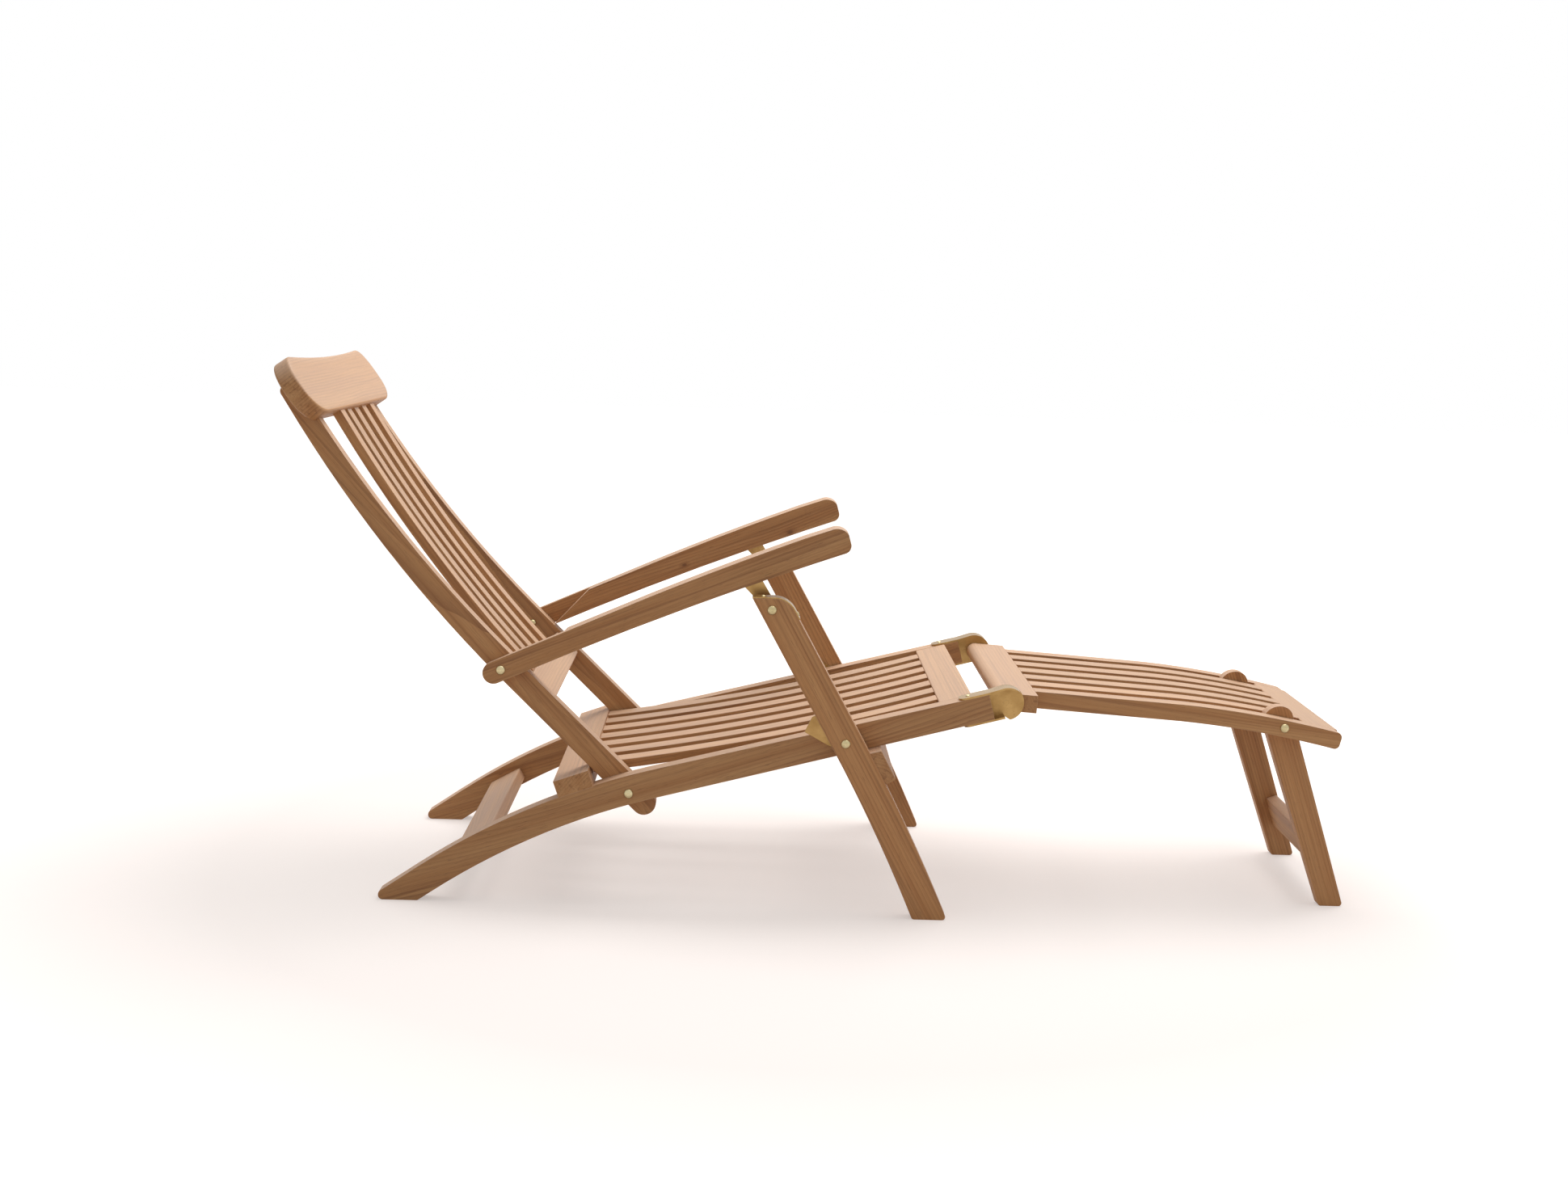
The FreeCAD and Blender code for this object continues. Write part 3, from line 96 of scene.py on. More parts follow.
def soften_edges(piece, width, segments=BOARD_STEPS):
    """Rounds the sharp edges of a piece and shades it smooth."""
    for polygon in piece.data.polygons:
        polygon.use_smooth = True
    weld = piece.modifiers.new("joined corners", "WELD")
    weld.merge_threshold = SAME_POINT
    plain = piece.modifiers.new("whole faces", "DECIMATE")
    plain.decimate_type = "DISSOLVE"
    plain.angle_limit = FLAT_ANGLE
    bevel = piece.modifiers.new("rubbed edges", "BEVEL")
    bevel.width = width
    bevel.segments = segments
    bevel.limit_method = "ANGLE"
    bevel.angle_limit = SHARP_ANGLE
    bevel.use_clamp_overlap = True
    bevel.miter_outer = "MITER_SHARP"
    bevel.harden_normals = False
    weighted = piece.modifiers.new("flat faces", "WEIGHTED_NORMAL")
    weighted.keep_sharp = False
    weighted.weight = FLATNESS_WEIGHT


def edge_of(name):
    """How far the edges of a board are rubbed down."""
    if name in ("arm_right", "arm_left", "headrest"):
        return ARM_EDGE
    return SLAT_EDGE if "slat" in name else BOARD_EDGE


for name in wood_pieces:
    soften_edges(pieces[name], edge_of(name))
for name in brass_pieces:
    soften_edges(pieces[name], FITTING_EDGE, FITTING_STEPS)
print("edges rounded on", len(pieces), "pieces")

# %% [markdown]
# ## Which way the grain runs
# Grain follows the length of a board, because that is how boards are sawn. The longest direction of
# a piece is found from its own corners: the singular value decomposition gives three directions,
# longest first. The three become a small rotation, so that one material recipe fits every board.

# %% Find the length of each board
def board_directions(piece):
    """Rotation that turns the chair's axes into length, width and thickness of a board."""
    corners = np.array([v.co for v in piece.data.vertices], float)
    corners -= corners.mean(0)
    directions = np.linalg.svd(corners, full_matrices=False)[2]
    length, width = Vector(directions[0]), Vector(directions[1])
    if length[max(range(3), key=lambda i: abs(length[i]))] < 0:
        length = -length
    if width[max(range(3), key=lambda i: abs(width[i]))] < 0:
        width = -width
    return Matrix((length, width, length.cross(width)))


grain = {name: board_directions(pieces[name]) for name in wood_pieces}
print("grain of the right arm:", [round(x, 2) for x in grain["arm_right"][0]])

# %% [markdown]
# ## A short way to write shader nodes
# A material in Blender is a graph. These helpers add one node in one line and join it to others,
# so that the recipes below read like sentences.

# %% Node helpers
def colour(code):
    """A screen colour such as d8b79c as the linear values that shaders use."""
    parts = [int(code[i : i + 2], 16) / 255 for i in (0, 2, 4)]
    linear = [c / 12.92 if c <= 0.04045 else ((c + 0.055) / 1.055) ** 2.4 for c in parts]
    return (*linear, 1.0)


class Recipe:
    """A material under construction."""

    def __init__(self, name):
        self.material = bpy.data.materials.new(name)
        self.material.use_nodes = True
        self.tree = self.material.node_tree
        self.tree.nodes.clear()

    def add(self, kind, settings=None, **inputs):
        """Adds a node; inputs are given by their names with _ for a space."""
        node = self.tree.nodes.new(kind)
        for key, value in (settings or {}).items():
            setattr(node, key, value)
        for key, value in inputs.items():
            self.feed(node.inputs[key.replace("_", " ")], value)
        return node

    def feed(self, socket, value):
        """Joins another node's output to a socket, or sets the socket to a value."""
        if isinstance(value, bpy.types.NodeSocket):
            self.tree.links.new(value, socket)
        else:
            socket.default_value = value

    def sum(self, operation, a, b=0.0):
        """One arithmetic step on one or two numbers."""
        node = self.tree.nodes.new("ShaderNodeMath")
        node.operation = operation
        self.feed(node.inputs[0], a)
        self.feed(node.inputs[1], b)
        return node.outputs[0]

    def measure(self, operation, a, b=None):
        """One number from one or two vectors, such as a length or a dot product."""
        node = self.tree.nodes.new("ShaderNodeVectorMath")
        node.operation = operation
        self.feed(node.inputs[0], a)
        if b is not None:
            self.feed(node.inputs[1], b)
        return node.outputs["Value"]

    def stretch(self, point, x, y, z):
        """Squeezes a point's coordinates, which stretches the pattern the other way."""
        node = self.tree.nodes.new("ShaderNodeVectorMath")
        node.operation = "MULTIPLY"
        self.feed(node.inputs[0], point)
        node.inputs[1].default_value = (x, y, z)
        return node.outputs[0]

    def noise(self, point, scale, detail=3.0, roughness=0.5):
        """Soft random values from 0 to 1."""
        node = self.add(
            "ShaderNodeTexNoise", Vector=point, Scale=scale, Detail=detail, Roughness=roughness
        )
        return node.outputs[0]

    def span(self, value, low, high, to_low=0.0, to_high=1.0):
        """Moves a range of numbers onto another, and stops at its ends."""
        node = self.add(
            "ShaderNodeMapRange",
            Value=value,
            From_Min=low,
            From_Max=high,
            To_Min=to_low,
            To_Max=to_high,
        )
        return node.outputs[0]

    def mix(self, share, a, b, blend="MIX"):
        """Mixes two colours by a share."""
        node = self.tree.nodes.new("ShaderNodeMix")
        node.data_type = "RGBA"
        node.blend_type = blend
        self.feed(node.inputs[0], share)
        self.feed(node.inputs[6], a)
        self.feed(node.inputs[7], b)
        return node.outputs[2]

    def finish(self, shader):
        """Joins the shader to the output and gives back the material."""
        output = self.tree.nodes.new("ShaderNodeOutputMaterial")
        self.tree.links.new(shader, output.inputs[0])
        return self.material


print("node helpers ready")

# %% [markdown]
# ## Teak, board by board
# Teak is a warm brown wood with darker growth rings, fine long fibres and short open pores. Real
# boards differ: one is cut nearer the heart of the log, another paler. The recipe places an
# imagined log axis beside the board and takes the distance from it. Rings of that distance show as
# long lines on the faces and as arcs on the end grain, which is exactly what a saw uncovers. Noise
# stretched along the board makes the fibres and pores. Every board gets its own place in the log
# and its own tone from its place in the list, so that the chair looks built from many planks.
# Upward faces get a painted sheen, found from the face's own direction, and the edges a painted
# highlight, found by a Bevel node, which feels where an edge is near; both are painted light.

# %% The teak recipe
TEAK_PALE = colour("d09f6c")
TEAK_MID = colour("b88250")
TEAK_DARK = colour("78492a")
TEAK_PORE = colour("472a17")
# pale colour used only for painted light: the sheen on upward faces and the edge highlight
TEAK_PAINTED_LIGHT = colour("dcc0a9")
RING_SPACING = 0.0046
RING_SHARE = 0.58
BAND_SHARE = 0.42
FIBRE_SHARE = 0.26
PORE_SHARE = 0.5
CLOUD_SHARE = 0.2
# how strongly faces that look up are painted paler, a painted sheen
PAINTED_TOP_LIGHT_SHARE = 0.66
PAINTED_LIGHT_BLEND = 0.62
# radius and strength of the painted highlight along the edges
EDGE_HIGHLIGHT_RADIUS = 0.0014
EDGE_HIGHLIGHT_SHARE = 0.3
RELIEF_DEPTH = 0.00025


def spread(index, step):
    """Evenly scattered values from 0 to 1, different for each board and the same on every run."""
    return (index * step) % 1.0


def knot(make, coordinates, body, directions, place, radius):
    """A small dark eye where a branch grew, with the wood round it a little darker."""
    moved = make.add("ShaderNodeMapping", {"vector_type": "TEXTURE"}, Vector=coordinates)
    moved.inputs["Location"].default_value = place
    moved.inputs["Rotation"].default_value = directions.transposed().to_euler("XYZ")
    moved.inputs["Scale"].default_value = (1.6, 1.0, 1.0)
    away = make.measure("LENGTH", moved.outputs[0])
    halo = make.span(away, radius * 2.6, radius * 0.8, 0.0, 0.45)
    eye = make.span(away, radius * 1.1, radius * 0.4, 0.0, 0.5)
    return make.mix(eye, make.mix(halo, body, TEAK_DARK), TEAK_PORE)


def teak(name, directions, index, knots=()):
    """Teak for one board; knots are (place on the chair, radius) pairs in metres."""
    make = Recipe("teak_" + name)
    coordinates = make.add("ShaderNodeTexCoord").outputs["Object"]
    turned = make.add("ShaderNodeMapping", Vector=coordinates)
    turned.inputs["Rotation"].default_value = directions.to_euler("XYZ")
    shift = (spread(index, 0.617) * 3.0, 0.0, 0.0)
    turned.inputs["Location"].default_value = shift
    point = turned.outputs[0]

    # the grain wanders a few millimetres along the board
    wander = make.noise(make.stretch(point, 1.6, 9.0, 9.0), 1.0, 2.0)
    side = make.sum("MULTIPLY", make.sum("SUBTRACT", wander, 0.5), 0.034)
    apart = make.add("ShaderNodeSeparateXYZ", Vector=point)
    log_y = 0.055 + 0.11 * spread(index, 0.381)
    log_z = 0.045 + 0.07 * spread(index, 0.723)
    across = make.sum("ADD", make.sum("ADD", apart.outputs[1], log_y), side)
    deep = make.sum("ADD", make.sum("ADD", apart.outputs[2], log_z), side)
    across, deep = make.sum("MULTIPLY", across, across), make.sum("MULTIPLY", deep, deep)
    distance = make.sum("SQRT", make.sum("ADD", across, deep))
    rings = make.sum("FRACT", make.sum("DIVIDE", distance, RING_SPACING))
    late_wood = make.sum("POWER", rings, 2.6)
    patches = make.noise(make.stretch(point, 2.0, 40.0, 40.0), 1.0, 2.0)
    late_wood = make.sum("MULTIPLY", late_wood, make.span(patches, 0.32, 0.62))

    streaks = make.noise(make.stretch(point, 1.7, 70.0, 70.0), 1.0, 3.0, 0.55)
    bands = make.noise(make.stretch(point, 1.3, 150.0, 150.0), 1.0, 2.0, 0.5)
    fibres = make.noise(make.stretch(point, 14.0, 900.0, 900.0), 1.0, 2.0, 0.6)
    pores = make.span(make.noise(make.stretch(point, 55.0, 1500.0, 1500.0), 1.0, 1.0), 0.66, 0.74)
    cloud = make.noise(make.stretch(point, 3.0, 9.0, 9.0), 1.0, 2.0)

    body = make.mix(make.span(streaks, 0.3, 0.72), TEAK_MID, TEAK_PALE)
    body = make.mix(make.sum("MULTIPLY", late_wood, RING_SHARE), body, TEAK_DARK)
    body = make.mix(make.span(bands, 0.56, 0.68, 0.0, BAND_SHARE), body, TEAK_DARK)
    body = make.mix(make.span(fibres, 0.35, 0.72, 0.0, FIBRE_SHARE), body, TEAK_DARK)
    body = make.mix(make.sum("MULTIPLY", pores, PORE_SHARE), body, TEAK_PORE)
    body = make.mix(make.span(cloud, 0.35, 0.7, 0.0, CLOUD_SHARE), body, TEAK_MID)

    # each board has its own tone
    tone = 0.93 + 0.13 * spread(index, 0.271)
    warm = 0.985 + 0.03 * spread(index, 0.543)
    body = make.mix(1.0, body, (tone * warm, tone, tone / warm, 1.0), "MULTIPLY")

    for place, radius in knots:
        body = knot(make, coordinates, body, directions, place, radius)

    # painted light: faces that look up get a painted sheen, edges a painted highlight
    facing = make.add("ShaderNodeTexCoord").outputs["Normal"]
    upward = make.add("ShaderNodeSeparateXYZ", Vector=facing).outputs[2]
    # painted sheen: faces that look up are mixed towards a pale colour
    painted_top_light = make.span(upward, 0.2, 0.6, 0.0, PAINTED_TOP_LIGHT_SHARE)
    body = make.mix(painted_top_light, body, make.mix(PAINTED_LIGHT_BLEND, body, TEAK_PAINTED_LIGHT))
    # painted highlight: edges, found by a Bevel node, are mixed towards a pale colour
    rounded = make.add("ShaderNodeBevel", {"samples": 4}, Radius=EDGE_HIGHLIGHT_RADIUS).outputs[0]
    flat = make.add("ShaderNodeNewGeometry").outputs["Normal"]
    same_way = make.measure("DOT_PRODUCT", rounded, flat)
    painted_edge_highlight = make.span(same_way, 0.98, 0.88, 0.0, EDGE_HIGHLIGHT_SHARE)
    body = make.mix(painted_edge_highlight, body, TEAK_PAINTED_LIGHT)

    # rings and fibres stand up a little, pores lie deeper
    rough = make.span(streaks, 0.3, 0.7, 0.52, 0.62)
    lines = make.sum("MULTIPLY", late_wood, 0.5)
    lines = make.sum("ADD", lines, make.sum("MULTIPLY", fibres, 0.6))
    relief = make.sum("SUBTRACT", lines, make.sum("MULTIPLY", pores, 1.2))
    bump = make.add("ShaderNodeBump", Height=relief, Strength=0.35, Distance=RELIEF_DEPTH)
    skin = make.add(
        "ShaderNodeBsdfPrincipled", Base_Color=body, Roughness=rough, Normal=bump.outputs[0]
    )
    skin.inputs["Specular IOR Level"].default_value = 0.42
    return make.finish(skin.outputs[0])


KNOTS = {
    "arm_left": (((-0.0511, 0.21, 0.5218), 0.0036), ((-0.2286, 0.21, 0.4606), 0.0028)),
}
for index, name in enumerate(wood_pieces):
    pieces[name].data.materials.clear()
    pieces[name].data.materials.append(teak(name, grain[name], index, KNOTS.get(name, ())))
print("teak on", len(wood_pieces), "boards")

# %% [markdown]
# ## The headrest, shaped from given sizes
# The real headrest is a broad board with almost half-round ends, soft edges and a top edge that
# dips a little between the ends. It could be cut from a solid, but a stack of closed outlines,
# called rings, gives such a form even faces. The outline comes first: each corner is a quarter of
# an ellipse, and the top edge between two corners is a shallow curve.

# %% Outline of the headrest
HEAD_HALF_LENGTH = 0.297
HEAD_HALF_HEIGHT = 0.0488
HEAD_THICK = 0.0275
HEAD_DIP = 0.0060
HEAD_HOLLOW = 0.0008
HEAD_EDGE = 0.0045
TOP_CORNER = (0.050, 0.048)
BOTTOM_CORNER = (0.068, 0.040)
CORNER_STEPS = 14
EDGE_STEPS = 20


def head_outline():
    """Points (along the board, up the board) round the headrest, starting at the bottom right."""
    quarter = [math.pi / 2 * i / CORNER_STEPS for i in range(CORNER_STEPS + 1)]
    low_x, low_z = BOTTOM_CORNER
    top_x, top_z = TOP_CORNER
    right = [
        (
            HEAD_HALF_LENGTH - low_x * (1 - math.sin(a)),
            -HEAD_HALF_HEIGHT + low_z * (1 - math.cos(a)),
        )
        for a in quarter
    ]
    right += [
        (
            HEAD_HALF_LENGTH - top_x * (1 - math.cos(a)),
            HEAD_HALF_HEIGHT - top_z * (1 - math.sin(a)),
        )
        for a in quarter
    ]
    reach = HEAD_HALF_LENGTH - top_x
    top = []
    for i in range(1, 2 * EDGE_STEPS):
        x = reach * (1 - i / EDGE_STEPS)
        top.append((x, HEAD_HALF_HEIGHT - HEAD_DIP * (1 - (x / reach) ** 2)))
    left = [(-x, z) for x, z in reversed(right)]
    low_reach = HEAD_HALF_LENGTH - low_x
    bottom = [
        (low_reach * (i / EDGE_STEPS - 1), -HEAD_HALF_HEIGHT) for i in range(1, 2 * EDGE_STEPS)
    ]
    return right + top + left + bottom


head_points = head_outline()
print("headrest outline of", len(head_points), "points")

# %% [markdown]
# ## From outline to board
# Each ring is the outline drawn in by some millimetres and set at some depth. The rings on a
# quarter circle round the edges, and smaller and smaller ones close the two broad faces. The
# finished board takes the place of the plainer solid one and rides with the back.

# %% The headrest's rings
HEAD_MIDDLE = Vector((-0.7690, 0.0, 0.7680))
HEAD_LEAN = math.radians(55.0)
HEAD_ALONG = Vector((0.012, 1.0, -0.006))
FACE_RINGS = 5
BEND_STEPS = 5


def drawn_in(points, inset):
    """The outline moved inwards by a distance."""
    moved = []
    for i, (x, z) in enumerate(points):
        before, after = points[i - 1], points[(i + 1) % len(points)]
        along = Vector((after[0] - before[0], after[1] - before[1])).normalized()
        moved.append((x - along.y * inset, z + along.x * inset))
    return moved


def head_ring_list():
    """Rings from the middle of the front face, round the edge, to the middle of the back."""
    rings = []
    inner = drawn_in(head_points, HEAD_EDGE)
    spine = HEAD_HALF_LENGTH - HEAD_HALF_HEIGHT
    hearts = [(max(-spine, min(spine, x)), 0.0) for x, _ in inner]
    for depth, order in ((0.0, range(FACE_RINGS)), (-HEAD_THICK, range(FACE_RINGS - 1, -1, -1))):
        face = []
        for step in order:
            share = step / FACE_RINGS
            face.append(
                [(c[0] + (x - c[0]) * share, z * share, depth) for c, (x, z) in zip(hearts, inner)]
            )
        bend = []
        for i in range(BEND_STEPS + 1):
            angle = math.pi / 2 * i / BEND_STEPS
            inset = HEAD_EDGE * (1 - math.sin(angle))
            down = HEAD_EDGE * (1 - math.cos(angle))
            at = -down if depth == 0.0 else depth + down
            bend.append([(x, z, at) for x, z in drawn_in(head_points, inset)])
        rings += face + bend if depth == 0.0 else bend[::-1] + face
    return rings


def shaped_headrest():
    """The headrest as a mesh in the chair's own place."""
    up = Vector((-math.cos(HEAD_LEAN), 0.0, math.sin(HEAD_LEAN)))
    out = Vector((math.sin(HEAD_LEAN), 0.0, math.cos(HEAD_LEAN)))
    rings = head_ring_list()
    count = len(rings[0])
    places = []
    for ring in rings:
        for x, z, depth in ring:
            hollow = HEAD_HOLLOW * (1 - (z / HEAD_HALF_HEIGHT) ** 2)
            places.append(HEAD_MIDDLE + HEAD_ALONG * x + up * z + out * (depth - hollow))
    faces = []
    for k in range(len(rings) - 1):
        for i in range(count):
            j = (i + 1) % count
            faces.append((k * count + i, k * count + j, (k + 1) * count + j, (k + 1) * count + i))
    mesh = bpy.data.meshes.new("headrest_shaped")
    mesh.from_pydata(places, [], faces)
    body = bmesh.new()
    body.from_mesh(mesh)
    bmesh.ops.remove_doubles(body, verts=body.verts, dist=2 * SAME_POINT)
    bmesh.ops.recalc_face_normals(body, faces=body.faces)
    body.to_mesh(mesh)
    body.free()
    for polygon in mesh.polygons:
        polygon.use_smooth = True
    piece = add_object("headrest_shaped", mesh)
    mesh.materials.append(pieces["headrest"].data.materials[0])
    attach(piece, "backrest")
    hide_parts("headrest")
    return piece


headrest = shaped_headrest()
print("headrest of", len(headrest.data.polygons), "faces")

# %% [markdown]
# ## Rounder noses on the arms
# The hand slides off the front of an arm, so its upper front corner is rounded more than the lower
# one. Here a copy of each arm is cut by a few planes near its front end, which gives it new points
# there, and every point outside a circle is moved onto that circle. The rest of the arm stays as it
# is, and the copy takes the solid's place.

# %% Arm noses
ARM_PIVOT = Vector((-0.485336, 0.0, 0.352896))
ARM_SLOPE = math.radians(24.3)
NOSE_RADIUS = 0.0215
NOSE_TOP = (0.5573, 0.0042)
NOSE_CUTS = 6
NOSE_CUT_STEP = 0.0024


def front_parts(body, ahead, start):
    """Faces that reach past a distance along the arm, with their edges and points."""
    near = [f for f in body.faces if max((v.co - ARM_PIVOT).dot(ahead) for v in f.verts) > start]
    edges = dict.fromkeys(e for f in near for e in f.edges)
    points = dict.fromkeys(v for f in near for v in f.verts)
    return near + list(edges) + list(points)


def rounded_arm(name, body_name):
    """A copy of an arm with a rounder upper front corner."""
    ahead = Vector((math.cos(ARM_SLOPE), 0.0, math.sin(ARM_SLOPE)))
    above = Vector((-math.sin(ARM_SLOPE), 0.0, math.cos(ARM_SLOPE)))
    middle_x, middle_z = NOSE_TOP[0] - NOSE_RADIUS, NOSE_TOP[1] - NOSE_RADIUS
    body = bmesh.new()
    body.from_mesh(pieces[name].data)
    for i in range(NOSE_CUTS):
        for direction, start in ((ahead, middle_x), (above, middle_z)):
            parts = front_parts(body, ahead, middle_x)
            at = ARM_PIVOT + direction * (start + i * NOSE_CUT_STEP)
            bmesh.ops.bisect_plane(
                body, geom=parts, plane_co=at, plane_no=direction, dist=SAME_POINT
            )
    moved = 0
    for vertex in body.verts:
        place = vertex.co - ARM_PIVOT
        x, z = place.dot(ahead) - middle_x, place.dot(above) - middle_z
        reach = math.hypot(x, z)
        if x > 0 and z > 0 and reach > NOSE_RADIUS:
            k = NOSE_RADIUS / reach - 1
            vertex.co += ahead * (x * k) + above * (z * k)
            moved += 1
    mesh = bpy.data.meshes.new(name + "_rounded")
    body.to_mesh(mesh)
    body.free()
    piece = add_object(name + "_rounded", mesh)
    mesh.materials.append(pieces[name].data.materials[0])
    soften_edges(piece, ARM_EDGE)
    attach(piece, body_name)
    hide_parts(name)
    print(name, "has", moved, "points on the round")


for arm in ("arm_right", "arm_left"):
    rounded_arm(arm, arm)

# %% [markdown]
# ## Round tops on the short legs
# The two legs under the foot end are sawn to a half-round top, so that they can turn close under
# the end bar. The solids end there in two hollow arcs that meet in a point. Mirroring each hollow
# arc across its own chord turns the pair into one half circle, with no new points and no new faces.
# The half circle is then made a little flatter, as the tops show between the slats.

# %% Tops of the short legs
SHORT_LEG_PIVOT = Vector((0.707133, 0.0, 0.286876))
SHORT_LEG_SLOPE = math.radians(71.8)
SHORT_LEG_RADIUS = 0.023
SHORT_LEG_RISE = 0.009
SHORT_LEG_FLATTER = 0.84


def round_topped_leg(name):
    """A copy of a short leg with a half-round top."""
    up = Vector((-math.cos(SHORT_LEG_SLOPE), 0.0, math.sin(SHORT_LEG_SLOPE)))
    across = Vector((math.sin(SHORT_LEG_SLOPE), 0.0, math.cos(SHORT_LEG_SLOPE)))
    mesh = pieces[name].data.copy()
    mesh.name = name + "_round_top"
    moved = 0
    for vertex in mesh.vertices:
        place = vertex.co - SHORT_LEG_PIVOT
        a, b = place.dot(across), place.dot(up) - SHORT_LEG_RISE
        if b > SAME_POINT:
            new_a = math.copysign(SHORT_LEG_RADIUS - b, a)
            new_b = (SHORT_LEG_RADIUS - abs(a)) * SHORT_LEG_FLATTER
            vertex.co += across * (new_a - a) + up * (new_b - b)
            moved += 1
    piece = add_object(mesh.name, mesh)
    soften_edges(piece, BOARD_EDGE)
    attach(piece, "leg_rest_legs")
    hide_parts(name)
    print(name, "has", moved, "points on the round")


for name in ("legrest_leg_right", "legrest_leg_left"):
    round_topped_leg(name)

# %% [markdown]
# ## Dulled brass
# The fittings are plain brass that has lost its first shine outdoors: a warm yellow-olive metal
# with cloudy tarnish and fine scratches. A metallic shader gives the reflections. Noise changes
# both its colour and its roughness, because tarnish is darker and rougher at once. Bolts and screws
# get a paler tone, because hands and tools keep them bright.

# %% The brass recipe
BRASS_BRIGHT = colour("b2925f")
BRASS_DULL = colour("967546")
BRASS_STAIN = colour("785b33")
SCRATCH_DEPTH = 0.00008


def dulled_brass(name, bright, dull):
    """Brass of a given tone, cloudy and finely scratched."""
    make = Recipe(name)
    point = make.add("ShaderNodeTexCoord").outputs["Object"]
    cloud = make.noise(point, 38.0, 3.0, 0.5)
    specks = make.noise(point, 260.0, 2.0)
    scratches = make.noise(make.stretch(point, 60.0, 900.0, 2200.0), 1.0, 2.0, 0.7)
    tint = make.mix(make.span(cloud, 0.3, 0.75), dull, bright)
    tint = make.mix(make.span(specks, 0.62, 0.8, 0.0, 0.3), tint, BRASS_STAIN)
    rough = make.span(cloud, 0.3, 0.7, 0.34, 0.24)
    rough = make.sum("ADD", rough, make.span(scratches, 0.4, 0.7, 0.0, 0.08))
    bump = make.add("ShaderNodeBump", Height=scratches, Strength=0.2, Distance=SCRATCH_DEPTH)
    metal = make.add(
        "ShaderNodeBsdfPrincipled", Base_Color=tint, Roughness=rough, Normal=bump.outputs[0]
    )
    metal.inputs["Metallic"].default_value = 1.0
    return make.finish(metal.outputs[0])


BOLT_BRIGHT = colour("cdc09a")
BOLT_DULL = colour("b3a377")
brass = dulled_brass("dulled_brass", BRASS_BRIGHT, BRASS_DULL)
bolt_brass = dulled_brass("bolt_brass", BOLT_BRIGHT, BOLT_DULL)
for name in brass_pieces:
    tone = bolt_brass if "bolts" in name or "screws" in name else brass
    pieces[name].data.materials.clear()
    pieces[name].data.materials.append(tone)
print("brass on", len(brass_pieces), "fittings")

# %% [markdown]
# ## Pins flush in the knee hinge
# The cheek of the knee hinge is a plain brass disc: its pin is filed level with the plate after it
# is driven in, so only a faint ring shows. Two short cylinders stand for the two pins.

# %% Knee pins
PIN_RADIUS = 0.004
PIN_MIDDLE = (0.27307, 0.32283)
PIN_ENDS = (0.1912, 0.24106)
PIN_SIDES = 32


def flush_pins():
    """Both knee pins as one piece."""
    mesh = bpy.data.meshes.new("knee_pins_flush")
    body = bmesh.new()
    inner, outer = PIN_ENDS
    for side in (-1, 1):
        turn = Matrix.Rotation(math.pi / 2, 4, "X")
        middle = Vector((PIN_MIDDLE[0], side * (inner + outer) / 2, PIN_MIDDLE[1]))
        bmesh.ops.create_cone(
            body,
            cap_ends=True,
            segments=PIN_SIDES,
            radius1=PIN_RADIUS,
            radius2=PIN_RADIUS,
            depth=outer - inner,
            matrix=Matrix.Translation(middle) @ turn,
        )
    body.to_mesh(mesh)
    body.free()
    piece = add_object("knee_pins_flush", mesh)
    mesh.materials.append(brass)
    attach(piece, "leg_rest")
    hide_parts("knee_pins")


flush_pins()
print("knee pins end", PIN_ENDS[1], "m from the middle")

# %% [markdown]
# ## The studio
# A pale floor under a broad soft lamp is the quietest stage for a chair. Floor and world look
# white to the camera and in reflections, and are softer as a light, which keeps the shaded sides
# of the boards dark enough to read. The kind of a ray tells the two cases apart.

# %% Rays that see the studio
def seen_directly(tree):
    """1 for rays of the eye, of reflections and through clear bodies, 0 for light on surfaces."""
    path = tree.nodes.new("ShaderNodeLightPath")
    seen = path.outputs["Is Camera Ray"]
    for ray in ("Is Glossy Ray", "Is Transmission Ray"):
        either = tree.nodes.new("ShaderNodeMath")
        either.operation = "MAXIMUM"
        tree.links.new(seen, either.inputs[0])
        tree.links.new(path.outputs[ray], either.inputs[1])
        seen = either.outputs[0]
    return seen


print("ray helper ready")

# %% [markdown]
# ## The floor
# The floor is one large plane of pale paint, because a chair needs something to stand on and to
# throw its shadow on. It also glows a little for rays that see it directly, more with distance from
# the chair, so that it reaches white at the edges of the picture and keeps the shadow.

# %% Floor
FLOOR_HALF = 14.0
FLOOR_PAINT = (0.66, 0.60, 0.57, 1.0)
FLOOR_TINT = (1.0, 0.965, 0.94, 1.0)
GLOW_NEAR, GLOW_FAR = 0.42, 0.90
NEAR_RADIUS, FAR_RADIUS = 0.95, 2.1


def pale_floor():
    """The plane under the chair."""
    mesh = bpy.data.meshes.new("floor")
    r = FLOOR_HALF
    mesh.from_pydata([(-r, -r, 0), (r, -r, 0), (r, r, 0), (-r, r, 0)], [], [(0, 1, 2, 3)])
    floor = add_object("floor", mesh)
    make = Recipe("pale_floor")
    paint = make.add("ShaderNodeBsdfDiffuse")
    paint.inputs[0].default_value = FLOOR_PAINT
    glow = make.add("ShaderNodeEmission")
    glow.inputs[0].default_value = FLOOR_TINT
    away = make.measure("LENGTH", make.add("ShaderNodeTexCoord").outputs["Object"])
    level = make.span(away, NEAR_RADIUS, FAR_RADIUS, GLOW_NEAR, GLOW_FAR)
    make.feed(glow.inputs[1], make.sum("MULTIPLY", seen_directly(make.tree), level))
    both = make.tree.nodes.new("ShaderNodeAddShader")
    make.feed(both.inputs[0], paint.outputs[0])
    make.feed(both.inputs[1], glow.outputs[0])
    mesh.materials.append(make.finish(both.outputs[0]))


pale_floor()
print("floor", FLOOR_HALF * 2, "m wide")

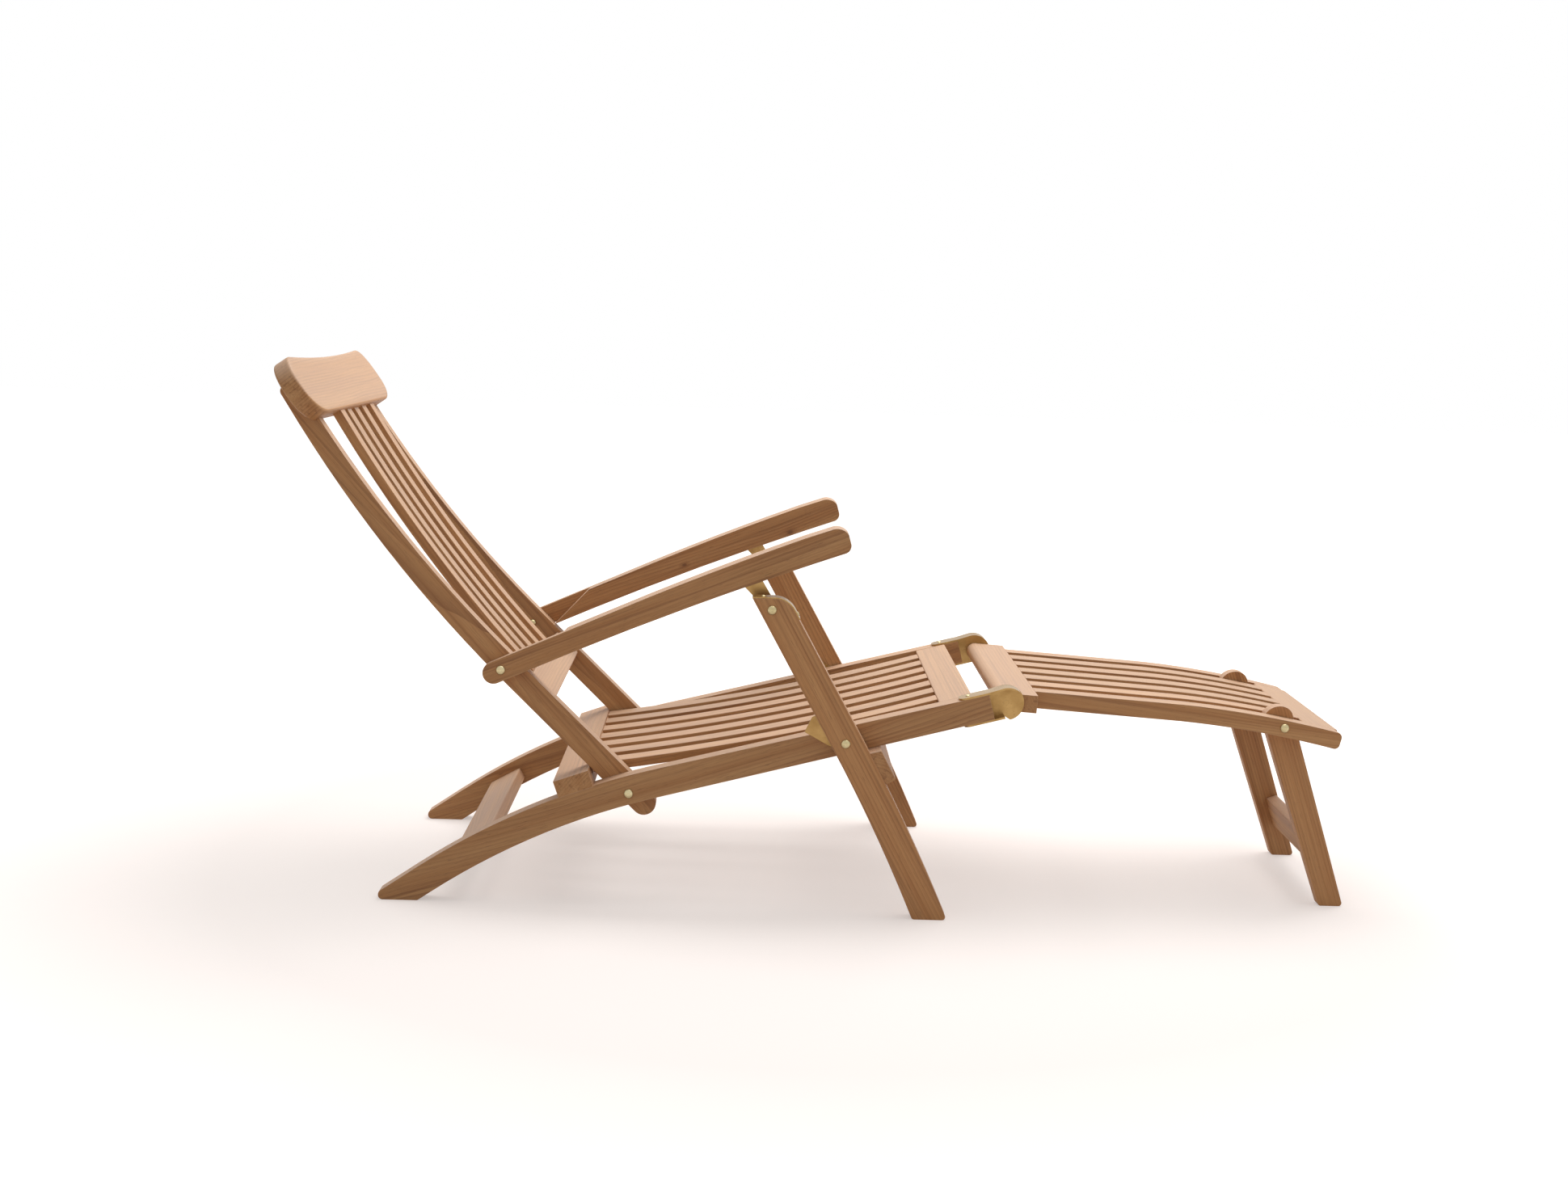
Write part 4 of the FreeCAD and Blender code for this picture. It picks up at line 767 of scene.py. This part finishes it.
# %% [markdown]
# ## World and lamp
# Light in a studio comes a little from everywhere and mostly from one broad lamp. The world is the
# even part. The lamp hangs high above the far side of the chair, and it is large, so that the
# shadow has a soft edge.

# %% World and lamp
WORLD_LIGHT = 0.45
LAMP_PLACE = (0.5, 0.9, 2.9)
LAMP_AIM = (0.1, 0.0, 0.3)
LAMP_SIZE = 2.8
LAMP_WATTS = 84


def studio_world():
    """White to the eye and in reflections, softer as a light."""
    world = bpy.data.worlds.new("studio")
    bpy.context.scene.world = world
    world.use_nodes = True
    tree = world.node_tree
    tree.nodes.clear()
    level = tree.nodes.new("ShaderNodeMapRange")
    level.inputs["To Min"].default_value = WORLD_LIGHT
    level.inputs["To Max"].default_value = 1.0
    tree.links.new(seen_directly(tree), level.inputs["Value"])
    back = tree.nodes.new("ShaderNodeBackground")
    back.inputs[0].default_value = (1.0, 1.0, 1.0, 1.0)
    tree.links.new(level.outputs[0], back.inputs[1])
    out = tree.nodes.new("ShaderNodeOutputWorld")
    tree.links.new(back.outputs[0], out.inputs[0])


def soft_lamp(name, place, aim, size, watts):
    """A square lamp of the given size that faces a point."""
    data = bpy.data.lights.new(name, "AREA")
    data.shape = "SQUARE"
    data.size = size
    data.energy = watts
    lamp = add_object(name, data)
    lamp.location = place
    lamp.rotation_mode = "QUATERNION"
    lamp.rotation_quaternion = (Vector(aim) - Vector(place)).to_track_quat("-Z", "Y")


studio_world()
soft_lamp("overhead_lamp", LAMP_PLACE, LAMP_AIM, LAMP_SIZE, LAMP_WATTS)
print("world at", WORLD_LIGHT, "and one overhead lamp")

# %% [markdown]
# ## The camera
# The photograph was taken from the sitter's right, a little above the armrests. The place, the
# direction and the small tilt of the camera come from fitting the chair's known pivots and feet to
# the picture. The lens follows from the same fit: about 49 millimetres on a 36 millimetre sensor.

# %% Camera
PHOTO_WIDTH = 1940
SENSOR_WIDTH = 36.0
FOCAL_PIXELS = 2662.68
EYE = Vector((-0.1241, -3.4215, 0.91787))
TURN_RIGHT = 0.018097
LOOK_DOWN = 0.135562
TILT = -0.031415


def photo_camera():
    """The camera that sees the chair as the photograph does."""
    ahead = Vector(
        (
            math.sin(TURN_RIGHT) * math.cos(LOOK_DOWN),
            math.cos(TURN_RIGHT) * math.cos(LOOK_DOWN),
            -math.sin(LOOK_DOWN),
        )
    )
    level = Vector((math.cos(TURN_RIGHT), -math.sin(TURN_RIGHT), 0.0))
    down = ahead.cross(level)
    right = level * math.cos(TILT) + down * math.sin(TILT)
    low = -level * math.sin(TILT) + down * math.cos(TILT)
    data = bpy.data.cameras.new("photo_camera")
    data.sensor_width = SENSOR_WIDTH
    data.lens = SENSOR_WIDTH * FOCAL_PIXELS / PHOTO_WIDTH
    data.clip_start, data.clip_end = 0.05, 100.0
    camera = add_object("photo_camera", data)
    turn = Matrix((right, -low, -ahead)).transposed()
    camera.matrix_world = Matrix.Translation(EYE) @ turn.to_4x4()
    bpy.context.scene.camera = camera
    return camera


camera = photo_camera()
print("lens", round(camera.data.lens, 2), "mm")

# %% [markdown]
# ## Colour on the screen
# The Standard view shows colours as they are written, which suits a plain product picture.

# %% View
bpy.context.scene.view_settings.view_transform = "Standard"
